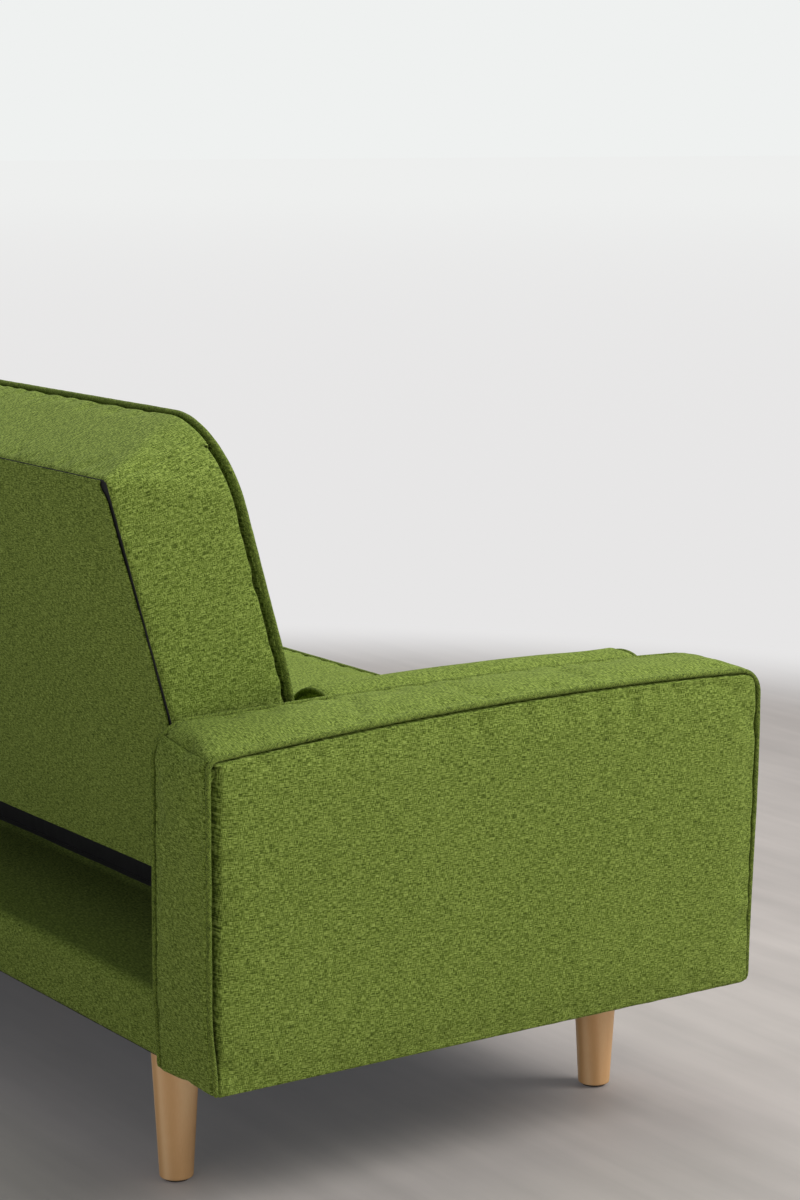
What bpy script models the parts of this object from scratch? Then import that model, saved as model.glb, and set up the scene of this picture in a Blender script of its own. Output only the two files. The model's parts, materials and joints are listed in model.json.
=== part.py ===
"""A two-arm sofa bed whose one-piece back reclines flat on a pair of ratchet hinges.

Metres, +Z up, floor at Z = 0. The sofa faces -Y, so its back is at +Y, and X runs along its width.
"Left" and "right" are those of somebody sitting on it: right is -X. The origin is on the floor,
in the middle of the sofa's width and depth.
"""
import math

import bmesh
import bpy
from mathutils import Vector

# Overall sizes
WIDTH = 2.05                # over both arms
ARM_DEPTH = 0.73            # front to rear of an arm
ARM_THICK = 0.125           # outer to inner face of an arm
ARM_TOP = 0.541             # highest point of an arm, at its crest
ARM_CREST = 0.51            # from the rear of the arm forward to that crest
ARM_REAR_DROP = 0.021       # how far the arm's top falls from crest to rear
ARM_FRONT_DROP = 0.005      # and from crest to front
ARM_FRONT_RADIUS = 0.030    # front top corner of an arm, seen from the side
ARM_REAR_RADIUS = 0.014     # rear top corner

# Legs
LEG_HEIGHT = 0.150
LEG_TOP_RADIUS = 0.0275
LEG_FOOT_RADIUS = 0.019
GLIDE_HEIGHT = 0.003
GLIDE_RADIUS = 0.014
LEG_INSET_X = 0.053         # leg axis inboard of the arm's inner face
LEG_REAR_INSET = 0.054      # rear leg axis in front of the arm's rear face
LEG_FRONT_INSET = 0.091     # front leg axis behind the arm's front face

# Base box, between the arms
BASE_SIDE_GAP = 0.001       # base to arm
BASE_REAR_INSET = 0.018     # rear fabric face in front of the arm's rear face
BASE_FRONT_INSET = 0.030    # front fabric face behind the arm's front face
BASE_TOP = 0.225            # top of the fabric over the rear shelf
BASE_EDGE_RADIUS = 0.012
RAIL_THICK = 0.022
SIDE_RAIL_WIDTH = 0.080
CENTRE_RAIL_WIDTH = 0.060
SHELF_THICK = 0.009
DUST_COVER_THICK = 0.0012

# Seat unit, which stands on the base box in front of the shelf
SEAT_SIDE_GAP = 0.006       # seat to arm
SEAT_FRONT_INSET = 0.005    # seat front behind the arm's front face
SEAT_REAR_INSET = 0.241     # seat rear in front of the arm's rear face
SEAT_CROWN = 0.410          # top of the seat in its middle
SEAT_SHOULDER = 0.394       # top of the seat beside the arms
SEAT_SHOULDER_WIDTH = 0.150
SEAT_CROWN_START = 0.300    # from the seat's end to where the crown is reached
SEAT_RAIL_HEIGHT = 0.070
LINING_HEIGHT = 0.126
LINING_THICK = 0.0012

# Back slab, measured from its hinge axis: "up" runs up the slab and "rear" is square to it
HINGE_SETBACK = 0.169       # axis in front of the arm's rear face
HINGE_HEIGHT = 0.360
RAKE = math.radians(16.0)
BACK_SIDE_GAP = 0.010       # slab to arm, where the hinge leaves are
BACK_FRONT = 0.050          # face against the sitter, in front of the axis
BACK_REAR = 0.090           # rear face, behind the axis
BACK_TOP_FRONT = 0.4956
BACK_TOP_REAR = 0.477
BACK_FOOT_FRONT = 0.045     # how far the slab reaches below the axis at its front face
BACK_FOOT_REAR = 0.011      # and at its rear face
BACK_CORNER_RADIUS = 0.100  # top corners of the front face
SHARP_RADIUS = 0.004        # top corners of the rear opening
PANEL_SLIT = 0.005          # open slit on each side of the rear panel
PANEL_THICK = 0.003

# Hinges
LEAF_THICK = 0.0025
LEAF_HEAD_RADIUS = 0.024
LEAF_TIP_RADIUS = 0.013
FIXED_LEAF_REACH = 0.190    # from the axis forward to the tip, which is level with the seat's side rail
MOVING_LEAF_REACH = (0.040, 0.150)    # from the axis rearward and up, along the back's stile
PIN_RADIUS = 0.005
PIN_CLEARANCE = 0.0003

# Loose bolsters
BOLSTER_RADIUS = 0.070
BOLSTER_END_RADIUS = 0.060
BOLSTER_FRONT_INSET = 0.035 # behind the arm's front face
BOLSTER_REAR_INSET = 0.245  # in front of the arm's rear face, clear of the back
BOLSTER_ARM_GAP = 0.002

# Upholstery and timber
COVER_THICK = 0.0025
PIPING_RADIUS = 0.0030
BACK_PIPING_RADIUS = 0.0036
WIRE_RADIUS = 0.0015
SPRING_COUNT = 6
SPRING_AMPLITUDE = 0.030
FOAM_GAP = 0.0015           # foam to cover
TOUCH = 0.0003              # gap between pieces that touch
STILE_WIDTH = 0.045
FRAME_DEPTH = 0.060         # depth of the back's timber frame
ARM_FRAME_MARGIN = 0.015    # an arm's posts inside its faces
ARM_FRAME_TOP_DROP = 0.030  # its top rail under the cover's rear edge
ARM_POST_WIDTH = 0.040
ARM_TOP_RAIL_HEIGHT = 1.5 * RAIL_THICK
FRAME_CLEARANCE = 0.002     # a frame's foot over the cover's, and a panel inside the slab's turned edge
TOP_RAIL_INSET = 0.026      # ends of the back's top rail, inside the slab's rounded corners
TOP_RAIL_DROP = 0.003
SPRING_SIDE_INSET = 0.050   # outermost springs inside a frame's sides
SEAT_SPRING_INSET = 0.005
BACK_SPRING_INSET = (0.010, 0.012)    # springs' ends over the foot rail and under the top rail
LEAF_CLEARANCE = (0.15, 0.10)         # shares of the side gap: fixed leaf to arm, moving leaf to back
LEG_EDGE = (0.001, 0.002)   # chamfer round a leg's foot: width and height
BOLSTER_EDGE = (0.002, 0.010)         # rounding of a bolster's end, at its middle and at its rim
BOLSTER_DOMED_SHARE = 0.6
BOLSTER_TAPER_SHARE = 0.15

# Places that follow from them
HALF = WIDTH / 2
INNER_HALF = HALF - ARM_THICK
REAR_OVERHANG = BACK_TOP_REAR * math.sin(RAKE) + BACK_REAR * math.cos(RAKE) - HINGE_SETBACK
ARM_REAR = (ARM_DEPTH - REAR_OVERHANG) / 2
ARM_FRONT = ARM_REAR - ARM_DEPTH
ARM_BOTTOM = LEG_HEIGHT + GLIDE_HEIGHT
DUST_BOTTOM = ARM_BOTTOM + TOUCH
RAIL_BOTTOM = DUST_BOTTOM + DUST_COVER_THICK + TOUCH
WRAP_UNDERSIDE = BASE_TOP - COVER_THICK - TOUCH
RAIL_TOP = WRAP_UNDERSIDE - SHELF_THICK - TOUCH
BASE_REAR = ARM_REAR - BASE_REAR_INSET
BASE_FRONT = ARM_FRONT + BASE_FRONT_INSET
BASE_HALF = INNER_HALF - BASE_SIDE_GAP
SEAT_REAR = ARM_REAR - SEAT_REAR_INSET
SEAT_FRONT = ARM_FRONT + SEAT_FRONT_INSET
SEAT_HALF = INNER_HALF - SEAT_SIDE_GAP
SEAT_BOTTOM = RAIL_TOP + TOUCH
SEAT_RAIL_TOP = SEAT_BOTTOM + SEAT_RAIL_HEIGHT
BACK_HALF = INNER_HALF - BACK_SIDE_GAP
BACK_DEPTH = BACK_FRONT + BACK_REAR
HINGE_Y = ARM_REAR - HINGE_SETBACK
HINGE = Vector((0.0, HINGE_Y, HINGE_HEIGHT))
SIDES = (("right", -1), ("left", 1))

COLLECTION = "sofa_bed"
GREEN = (0.155, 0.205, 0.032, 1.0)
PALETTE = {
    "green_fabric": (GREEN, 0.9),
    "green_piping": ((0.10, 0.14, 0.02, 1.0), 0.9),
    "black_nonwoven": ((0.012, 0.012, 0.013, 1.0), 0.95),
    "beech": ((0.62, 0.40, 0.20, 1.0), 0.45),
    "pine": ((0.66, 0.47, 0.27, 1.0), 0.7),
    "plywood": ((0.55, 0.40, 0.24, 1.0), 0.7),
    "foam": ((0.80, 0.76, 0.60, 1.0), 0.95),
    "spring_steel": ((0.28, 0.28, 0.29, 1.0), 0.4),
    "black_steel": ((0.03, 0.03, 0.032, 1.0), 0.45),
    "felt": ((0.10, 0.09, 0.08, 1.0), 0.95),
}
METALS = ("spring_steel", "black_steel")


# ---------------------------------------------------------------- scene helpers

def clear_scene():
    for ob in list(bpy.data.objects):
        bpy.data.objects.remove(ob)


def make_material(name):
    colour, roughness = PALETTE[name]
    material = bpy.data.materials.new(name)
    material.use_nodes = True
    shader = material.node_tree.nodes["Principled BSDF"]
    shader.inputs["Base Color"].default_value = colour
    shader.inputs["Roughness"].default_value = roughness
    shader.inputs["Metallic"].default_value = 1.0 if name in METALS else 0.0
    return material


def material(name):
    return bpy.data.materials.get(name) or make_material(name)


def adopt(ob, name, finish, parent=None):
    """Names an object, gives it its finish and files it in the sofa's collection."""
    ob.name = name
    ob.data.name = name
    ob.data.materials.clear()
    ob.data.materials.append(material(finish))
    for owner in list(ob.users_collection):
        owner.objects.unlink(ob)
    bpy.data.collections[COLLECTION].objects.link(ob)
    ob.parent = parent
    return ob


def mesh_object(name, bm, finish, parent=None):
    mesh = bpy.data.meshes.new(name)
    bmesh.ops.recalc_face_normals(bm, faces=bm.faces)
    bm.to_mesh(mesh)
    bm.free()
    ob = bpy.data.objects.new(name, mesh)
    bpy.context.scene.collection.objects.link(ob)
    return adopt(ob, name, finish, parent)


def solidify(ob, thickness):
    """Gives an open surface its thickness, inwards from the modelled face."""
    wall = ob.modifiers.new("wall", "SOLIDIFY")
    wall.thickness = thickness
    wall.offset = -1.0
    wall.use_even_offset = True
    return ob


def box(name, low, high, finish, parent=None):
    bpy.ops.mesh.primitive_cube_add(size=1.0)
    ob = bpy.context.object
    for vertex in ob.data.vertices:
        vertex.co = [a if c < 0 else b for a, b, c in zip(low, high, vertex.co)]
    return adopt(ob, name, finish, parent)


def cylinder(name, radius, length, centre, finish, along="Z", sides=16, parent=None):
    bpy.ops.mesh.primitive_cylinder_add(vertices=sides, radius=radius, depth=length)
    ob = bpy.context.object
    ob.location = centre
    if along == "X":
        ob.rotation_euler = (0.0, math.pi / 2, 0.0)
    ob.data.shade_smooth()
    ob.data.set_sharp_from_angle(angle=math.radians(40))
    return adopt(ob, name, finish, parent)


def turned(name, profile, location, finish, sides=24, along="Z"):
    """A turned piece: its profile, (radius, height) from top to bottom, swept round its own axis."""
    mesh = bpy.data.meshes.new(name)
    points = [(radius, 0.0, height) for radius, height in profile]
    mesh.from_pydata(points, [(i, i + 1) for i in range(len(points) - 1)], [])
    ob = bpy.data.objects.new(name, mesh)
    bpy.context.scene.collection.objects.link(ob)
    screw = ob.modifiers.new("turn", "SCREW")
    screw.steps = sides
    screw.render_steps = sides
    screw.use_merge_vertices = True
    screw.merge_threshold = 0.00005
    screw.use_smooth_shade = True
    ob.location = location
    if along == "Y":
        ob.rotation_euler = (math.pi / 2, 0.0, 0.0)
    return adopt(ob, name, finish)


def tube(name, points, radius, finish, parent=None, closed=False):
    """A round cord or wire along a line of points."""
    curve = bpy.data.curves.new(name, "CURVE")
    curve.dimensions = "3D"
    curve.bevel_depth = radius
    curve.bevel_resolution = 1
    curve.use_fill_caps = not closed
    spline = curve.splines.new("POLY")
    spline.points.add(len(points) - 1)
    for point, place in zip(spline.points, points):
        point.co = (*place, 1.0)
    spline.use_cyclic_u = closed
    ob = bpy.data.objects.new(name, curve)
    bpy.context.scene.collection.objects.link(ob)
    return adopt(ob, name, finish, parent)


def plate(name, outlines, thickness, finish, location, parent=None):
    """A flat plate that stands in the Y-Z plane: its outline and its holes, as (y, z) points."""
    curve = bpy.data.curves.new(name, "CURVE")
    curve.dimensions = "2D"
    curve.fill_mode = "BOTH"
    curve.extrude = thickness / 2
    for outline in outlines:
        spline = curve.splines.new("POLY")
        spline.points.add(len(outline) - 1)
        for point, (y, z) in zip(spline.points, outline):
            point.co = (y, z, 0.0, 1.0)
        spline.use_cyclic_u = True
    ob = bpy.data.objects.new(name, curve)
    bpy.context.scene.collection.objects.link(ob)
    ob.rotation_euler = (math.pi / 2, 0.0, math.pi / 2)
    ob.location = location
    return adopt(ob, name, finish, parent)


def mesh_copy(ob):
    """Turns a curve into a mesh with its caps welded."""
    bpy.context.view_layer.update()
    graph = bpy.context.evaluated_depsgraph_get()
    mesh = bpy.data.meshes.new_from_object(ob.evaluated_get(graph))
    bm = bmesh.new()
    bm.from_mesh(mesh)
    bmesh.ops.remove_doubles(bm, verts=bm.verts, dist=0.00001)
    bm.to_mesh(mesh)
    bm.free()
    made = bpy.data.objects.new(ob.name, mesh)
    bpy.context.scene.collection.objects.link(made)
    made.matrix_world = ob.matrix_world
    bpy.data.objects.remove(ob)
    return made


def union(name, pieces, finish, parent=None):
    """Joins overlapping pieces into one body."""
    first = pieces[0]
    for other in pieces[1:]:
        step = first.modifiers.new("join", "BOOLEAN")
        step.operation = "UNION"
        step.solver = "EXACT"
        step.object = other
        bpy.context.view_layer.update()
        graph = bpy.context.evaluated_depsgraph_get()
        mesh = bpy.data.meshes.new_from_object(first.evaluated_get(graph))
        first.modifiers.clear()
        first.data = mesh
        bpy.data.objects.remove(other)
    return adopt(first, name, finish, parent)


def arc(centre, radius, start, end, steps):
    """Points on a circle in a plane, from angle start to angle end in degrees."""
    angles = [math.radians(start + (end - start) * i / steps) for i in range(steps + 1)]
    return [(centre[0] + radius * math.cos(a), centre[1] + radius * math.sin(a)) for a in angles]


# ---------------------------------------------------------------- base box and legs

def make_base():
    rear_rail_face = BASE_REAR - COVER_THICK - TOUCH
    front_rail_face = BASE_FRONT + COVER_THICK + TOUCH
    side_rear = rear_rail_face - RAIL_THICK - TOUCH
    side_front = front_rail_face + RAIL_THICK + TOUCH
    shelf_front = SEAT_REAR + TOUCH

    box("base_rear_rail", (-BASE_HALF, rear_rail_face - RAIL_THICK, RAIL_BOTTOM),
        (BASE_HALF, rear_rail_face, RAIL_TOP), "pine")
    box("base_front_rail", (-BASE_HALF, front_rail_face, RAIL_BOTTOM),
        (BASE_HALF, front_rail_face + RAIL_THICK, RAIL_TOP), "pine")
    for side, sign in SIDES:
        xs = sorted((sign * BASE_HALF, sign * (BASE_HALF - SIDE_RAIL_WIDTH)))
        box(f"base_{side}_rail", (xs[0], side_front, RAIL_BOTTOM),
            (xs[1], side_rear, RAIL_TOP), "pine")
    box("base_centre_rail", (-CENTRE_RAIL_WIDTH / 2, side_front, RAIL_BOTTOM),
        (CENTRE_RAIL_WIDTH / 2, side_rear, RAIL_TOP), "pine")
    box("shelf_board", (-BASE_HALF, shelf_front, RAIL_TOP + TOUCH),
        (BASE_HALF, BASE_REAR - BASE_EDGE_RADIUS, WRAP_UNDERSIDE), "plywood")
    box("dust_cover", (-BASE_HALF, BASE_FRONT, DUST_BOTTOM),
        (BASE_HALF, BASE_REAR, DUST_BOTTOM + DUST_COVER_THICK), "black_nonwoven")
    make_wrap("base_rear_wrap", BASE_REAR, shelf_front, BASE_TOP)
    make_wrap("base_front_wrap", BASE_FRONT, None, RAIL_TOP)


def make_wrap(name, face, shelf_end, top):
    """Fabric over the outside of a base rail; with shelf_end it goes on over the shelf."""
    if shelf_end is None:
        box(name, (-BASE_HALF, face, RAIL_BOTTOM), (BASE_HALF, face + COVER_THICK, top), "green_fabric")
        return
    r = BASE_EDGE_RADIUS
    line = [(face, RAIL_BOTTOM)] + arc((face - r, top - r), r, 0, 90, 4) + [(shelf_end, top)]
    bm = bmesh.new()
    ends = [[bm.verts.new((x, y, z)) for y, z in line] for x in (-BASE_HALF, BASE_HALF)]
    for i in range(len(line) - 1):
        bm.faces.new((ends[0][i], ends[0][i + 1], ends[1][i + 1], ends[1][i]))
    mesh = bpy.data.meshes.new(name)
    bm.to_mesh(mesh)
    bm.free()
    mesh.flip_normals()
    ob = bpy.data.objects.new(name, mesh)
    bpy.context.scene.collection.objects.link(ob)
    solidify(adopt(ob, name, "green_fabric"), COVER_THICK)


def make_legs():
    leg_x = INNER_HALF - LEG_INSET_X
    rear, front = ARM_REAR - LEG_REAR_INSET, ARM_FRONT + LEG_FRONT_INSET
    places = {"centre": (0.0, (rear + front) / 2)}
    for side, sign in SIDES:
        places[f"rear_{side}"] = (sign * leg_x, rear)
        places[f"front_{side}"] = (sign * leg_x, front)
    profile = [
        (0.0, LEG_HEIGHT), (LEG_TOP_RADIUS, LEG_HEIGHT), (LEG_FOOT_RADIUS + LEG_EDGE[0], LEG_EDGE[1]),
        (LEG_FOOT_RADIUS - LEG_EDGE[0], 0.0), (0.0, 0.0),
    ]
    for place, (x, y) in places.items():
        turned(f"leg_{place}", profile, (x, y, GLIDE_HEIGHT + TOUCH / 2), "beech", sides=24)
        cylinder(f"glide_{place}", GLIDE_RADIUS, GLIDE_HEIGHT - TOUCH, (x, y, (GLIDE_HEIGHT - TOUCH) / 2),
                 "felt", sides=16)


# ---------------------------------------------------------------- seat unit

def chamfer(radius):
    """Leg of the chamfer that a piping cord of this radius lies in, flush with both faces."""
    return math.sqrt(2) * (radius * (1 + math.sqrt(2)) + TOUCH)


def spring_wires(prefix, half_run, start, end, height, along):
    """Sinuous springs side by side, joined by two tie wires. They run from start to end."""
    pitch = 2 * half_run / SPRING_COUNT
    bars = 2 * round((end - start) / SPRING_AMPLITUDE / 3)
    step = (end - start) / bars
    pieces = []
    for i in range(SPRING_COUNT):
        middle = -half_run + pitch * (i + 0.5)
        points = [(middle, start)]
        for k in range(bars):
            swing = SPRING_AMPLITUDE * (1 if k % 2 else -1)
            points += [(middle + swing, start + step * (k + 0.25)),
                       (middle + swing, start + step * (k + 0.75))]
        points.append((middle, end))
        pieces.append(points)
    reach = half_run - pitch / 2 + SPRING_AMPLITUDE + 0.01
    for share in (1 / 3, 2 / 3):
        level = start + step * (round(bars * share) + 0.5)
        pieces.append([(-reach, level), (reach, level)])
    wires = []
    for i, points in enumerate(pieces):
        places = [(a, b, height) if along == "Y" else (a, height, b) for a, b in points]
        wires.append(mesh_copy(tube(f"{prefix}_{i}", places, WIRE_RADIUS, "spring_steel")))
    return wires


def make_seat():
    inset = COVER_THICK + FOAM_GAP
    half = SEAT_HALF - inset
    rear, front = SEAT_REAR - LINING_THICK - TOUCH, SEAT_FRONT
    bottom, top = SEAT_BOTTOM, SEAT_RAIL_TOP
    box("seat_front_rail", (-half, front + inset, bottom), (half, front + inset + RAIL_THICK, top), "pine")
    box("seat_rear_rail", (-half, rear - inset - RAIL_THICK, bottom), (half, rear - inset, top), "pine")
    for side, sign in SIDES:
        xs = sorted((sign * half, sign * (half - RAIL_THICK)))
        box(f"seat_{side}_rail", (xs[0], front + inset + RAIL_THICK + TOUCH, bottom),
            (xs[1], rear - inset - RAIL_THICK - TOUCH, top), "pine")
    wire = top + TOUCH + WIRE_RADIUS
    springs = spring_wires("seat_spring", half - SPRING_SIDE_INSET, front + inset + SEAT_SPRING_INSET,
                           rear - inset - SEAT_SPRING_INSET, wire, "Y")
    union("seat_springs", springs, "spring_steel")
    foam_bottom = wire + WIRE_RADIUS + TOUCH
    edge = chamfer(PIPING_RADIUS)
    box("seat_foam", (-half + edge, front + inset + edge, foam_bottom),
        (half - edge, rear - inset - edge, SEAT_SHOULDER - inset), "foam")
    make_seat_cover(rear, front)
    box("seat_rear_lining", (-half, SEAT_REAR - LINING_THICK, bottom),
        (half, SEAT_REAR, bottom + LINING_HEIGHT), "black_nonwoven")


def seat_profile():
    """Across the seat, from one end's foot over the top to the other's: (x, z)."""
    rise = [(SEAT_HALF, SEAT_BOTTOM), (SEAT_HALF, SEAT_SHOULDER),
            (SEAT_HALF - SEAT_SHOULDER_WIDTH, SEAT_SHOULDER), (SEAT_HALF - SEAT_CROWN_START, SEAT_CROWN)]
    return rise + [(-x, z) for x, z in reversed(rise)]


def make_seat_cover(rear, front):
    bm = bmesh.new()
    outline = bm.faces.new([bm.verts.new((x, front, z)) for x, z in seat_profile()])
    made = bmesh.ops.extrude_face_region(bm, geom=[outline])
    moved = [v for v in made["geom"] if isinstance(v, bmesh.types.BMVert)]
    bmesh.ops.translate(bm, verts=moved, vec=(0.0, rear - front, 0.0))
    bmesh.ops.delete(bm, geom=[f for f in bm.faces if all(v.co.z < SEAT_BOTTOM + TOUCH for v in f.verts)],
                     context="FACES_ONLY")
    rims = [e for e in bm.edges if is_seat_rim(e, rear, front)]
    edge = chamfer(PIPING_RADIUS)
    bmesh.ops.bevel(bm, geom=rims, offset=edge, segments=1, profile=0.5, affect="EDGES")
    solidify(mesh_object("seat_cover", bm, "green_fabric"), COVER_THICK)

    r = PIPING_RADIUS
    x = SEAT_HALF - r
    crown = [(-x, SEAT_SHOULDER), (-SEAT_HALF + SEAT_SHOULDER_WIDTH, SEAT_SHOULDER),
             (-SEAT_HALF + SEAT_CROWN_START, SEAT_CROWN), (SEAT_HALF - SEAT_CROWN_START, SEAT_CROWN),
             (SEAT_HALF - SEAT_SHOULDER_WIDTH, SEAT_SHOULDER), (x, SEAT_SHOULDER)]
    loop = [(a, front + r, z - r) for a, z in crown] + [(a, rear - r, z - r) for a, z in reversed(crown)]
    tube("seat_piping", loop, r, "green_piping", closed=True)


def is_seat_rim(edge, rear, front):
    """The edges round the top of the seat, where the piping lies."""
    a, b = (v.co for v in edge.verts)
    if min(a.z, b.z) < SEAT_SHOULDER - TOUCH:
        return False
    across = any(abs(a.y - y) < TOUCH and abs(b.y - y) < TOUCH for y in (rear, front))
    at_end = abs(abs(a.x) - SEAT_HALF) < TOUCH and abs(abs(b.x) - SEAT_HALF) < TOUCH
    return across or at_end


# ---------------------------------------------------------------- arms

def arm_top(y):
    """Height of the arm's top at a depth: it falls away from its crest both ways."""
    crest = ARM_REAR - ARM_CREST
    if y > crest:
        return ARM_TOP - ARM_REAR_DROP * ((y - crest) / (ARM_REAR - crest)) ** 2
    return ARM_TOP - ARM_FRONT_DROP * ((crest - y) / (crest - ARM_FRONT)) ** 2


def arm_outline(inset=0.0):
    """Side view of an arm from the rear's foot over the top to the front's foot: (y, z)."""
    rear, front = ARM_REAR - inset, ARM_FRONT + inset
    rear_r, front_r = ARM_REAR_RADIUS - inset, ARM_FRONT_RADIUS - inset
    rear_z, front_z = arm_top(rear) - inset, arm_top(front) - inset
    line = [(rear, ARM_BOTTOM)]
    line += arc((rear - rear_r, rear_z - rear_r), rear_r, 0, 90, 3)
    start, end = rear - rear_r, front + front_r
    for i in range(1, 6):
        y = start + (end - start) * i / 6
        line.append((y, arm_top(y) - inset))
    line += arc((front + front_r, front_z - front_r), front_r, 90, 180, 4)
    line.append((front, ARM_BOTTOM))
    return line


def make_arm(side, sign):
    outer, inner = sign * HALF, sign * INNER_HALF
    bm = bmesh.new()
    outline = bm.faces.new([bm.verts.new((outer, y, z)) for y, z in arm_outline()])
    made = bmesh.ops.extrude_face_region(bm, geom=[outline])
    moved = [v for v in made["geom"] if isinstance(v, bmesh.types.BMVert)]
    bmesh.ops.translate(bm, verts=moved, vec=(inner - outer, 0.0, 0.0))
    bmesh.ops.delete(bm, geom=[f for f in bm.faces if all(v.co.z < ARM_BOTTOM + TOUCH for v in f.verts)],
                     context="FACES_ONLY")
    rims = [e for e in bm.edges if abs(e.verts[0].co.x - e.verts[1].co.x) < TOUCH
            and max(v.co.z for v in e.verts) > ARM_BOTTOM + TOUCH]
    bmesh.ops.bevel(bm, geom=rims, offset=chamfer(PIPING_RADIUS), segments=1, profile=0.5, affect="EDGES")
    solidify(mesh_object(f"arm_{side}_cover", bm, "green_fabric"), COVER_THICK)

    r = PIPING_RADIUS
    for label, x in (("outer", outer - sign * r), ("inner", inner + sign * r)):
        tube(f"arm_{side}_{label}_piping", [(x, y, z) for y, z in arm_outline(r)], r, "green_piping")
    make_arm_frame(side, sign)


def make_arm_frame(side, sign):
    """Timber inside an arm: two posts, and a rail between their feet and one over their tops."""
    xs = sorted((sign * (HALF - ARM_FRAME_MARGIN), sign * (INNER_HALF + ARM_FRAME_MARGIN)))
    rear, front = ARM_REAR - ARM_FRAME_MARGIN, ARM_FRONT + ARM_FRAME_MARGIN
    bottom = ARM_BOTTOM + FRAME_CLEARANCE
    top = ARM_TOP - ARM_REAR_DROP - ARM_FRAME_TOP_DROP
    post_top = top - ARM_TOP_RAIL_HEIGHT
    post = ARM_POST_WIDTH

    def timber(name, low, high):
        box(f"arm_{side}_{name}", (xs[0], low[0], low[1]), (xs[1], high[0], high[1]), "pine")

    timber("rear_post", (rear - post, bottom), (rear, post_top))
    timber("front_post", (front, bottom), (front + post, post_top))
    timber("top_rail", (front, post_top + TOUCH), (rear, top))
    timber("bottom_rail", (front + post + TOUCH, bottom), (rear - post - TOUCH, bottom + STILE_WIDTH))


# ---------------------------------------------------------------- back slab

def slab_outline(inset, radius, top, foot, half=BACK_HALF, steps=6):
    """Outline of the slab, square to its thickness: (x, up), anticlockwise seen from the front."""
    x, low, high = half - inset, -foot + inset, top - inset
    line = [(-x, low), (x, low)]
    line += arc((x - radius, high - radius), radius, 0, 90, steps)
    line += arc((-x + radius, high - radius), radius, 90, 180, steps)
    return line


def loft(bm, rings):
    """Joins closed rings of equal length with quads and returns the rings' vertices."""
    made = [[bm.verts.new(point) for point in ring] for ring in rings]
    for one, two in zip(made, made[1:]):
        for i in range(len(one)):
            j = (i + 1) % len(one)
            bm.faces.new((one[i], one[j], two[j], two[i]))
    return made


def share(front, rear, depth):
    """A size part of the way from the slab's front face, at depth 0, to its rear face."""
    return front + (rear - front) * depth / BACK_DEPTH


def section(depth, inset):
    """The slab's outline at a depth behind its front face, in the hinge's frame."""
    radius = share(BACK_CORNER_RADIUS, SHARP_RADIUS, depth)
    if depth < BACK_DEPTH / 2:
        radius -= inset
    line = slab_outline(inset, radius, share(BACK_TOP_FRONT, BACK_TOP_REAR, depth),
                        share(BACK_FOOT_FRONT, BACK_FOOT_REAR, depth))
    return [(x, depth - BACK_FRONT, up) for x, up in line]


def make_back(axis):
    edge = chamfer(BACK_PIPING_RADIUS)
    bm = bmesh.new()
    rings = loft(bm, [section(0.0, edge), section(edge, 0.0), section(BACK_DEPTH, 0.0)])
    bm.faces.new(rings[0])
    solidify(mesh_object("back_cover", bm, "green_fabric", axis), COVER_THICK)
    r = BACK_PIPING_RADIUS
    tube("back_piping", section(r, r), r, "green_piping", axis, closed=True)
    panel_half = BACK_HALF - COVER_THICK - PANEL_SLIT
    edge = COVER_THICK + FRAME_CLEARANCE
    box("back_rear_panel", (-panel_half, BACK_REAR - PANEL_THICK - TOUCH, -BACK_FOOT_REAR + edge),
        (panel_half, BACK_REAR - TOUCH, BACK_TOP_REAR - edge), "green_fabric", axis)
    make_back_frame(axis)


def make_back_frame(axis):
    inset = COVER_THICK + FOAM_GAP
    rear = BACK_REAR - PANEL_THICK - 3 * TOUCH
    front = rear - FRAME_DEPTH
    half = BACK_HALF - inset
    low = -BACK_FOOT_REAR + inset + TOUCH
    rail_top = BACK_TOP_REAR - inset
    top_rail_low = rail_top - STILE_WIDTH

    def timber(name, x0, x1, z0, z1):
        box(f"back_{name}", (x0, front, z0), (x1, rear, z1), "pine", axis)

    rail_half = half - TOP_RAIL_INSET
    timber("top_rail", -rail_half, rail_half, top_rail_low, rail_top - TOP_RAIL_DROP)
    timber("bottom_rail", -half, half, low, low + STILE_WIDTH)
    for side, sign in SIDES:
        xs = sorted((sign * half, sign * (half - STILE_WIDTH)))
        timber(f"{side}_stile", xs[0], xs[1], low + STILE_WIDTH + TOUCH, top_rail_low - TOUCH)
    timber("centre_stile", -STILE_WIDTH / 2, STILE_WIDTH / 2, low + STILE_WIDTH + TOUCH, top_rail_low - TOUCH)

    wire = front - TOUCH - WIRE_RADIUS
    springs = spring_wires("back_spring", half - SPRING_SIDE_INSET, low + BACK_SPRING_INSET[0],
                           rail_top - BACK_SPRING_INSET[1], wire, "Z")
    for ob in springs:
        ob.parent = axis
    union("back_springs", springs, "spring_steel", axis)
    foam_rear = wire - WIRE_RADIUS - TOUCH
    foam_front = -BACK_FRONT + inset
    depth = foam_rear + BACK_FRONT
    line = slab_outline(inset + chamfer(BACK_PIPING_RADIUS), BACK_CORNER_RADIUS,
                        share(BACK_TOP_FRONT, BACK_TOP_REAR, depth),
                        share(BACK_FOOT_FRONT, BACK_FOOT_REAR, depth))
    bm = bmesh.new()
    face = bm.faces.new([bm.verts.new((x, foam_front, up)) for x, up in line])
    made = bmesh.ops.extrude_face_region(bm, geom=[face])
    moved = [v for v in made["geom"] if isinstance(v, bmesh.types.BMVert)]
    bmesh.ops.translate(bm, verts=moved, vec=(0.0, foam_rear - foam_front, 0.0))
    mesh_object("back_foam", bm, "foam", axis)


# ---------------------------------------------------------------- hinges

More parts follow.
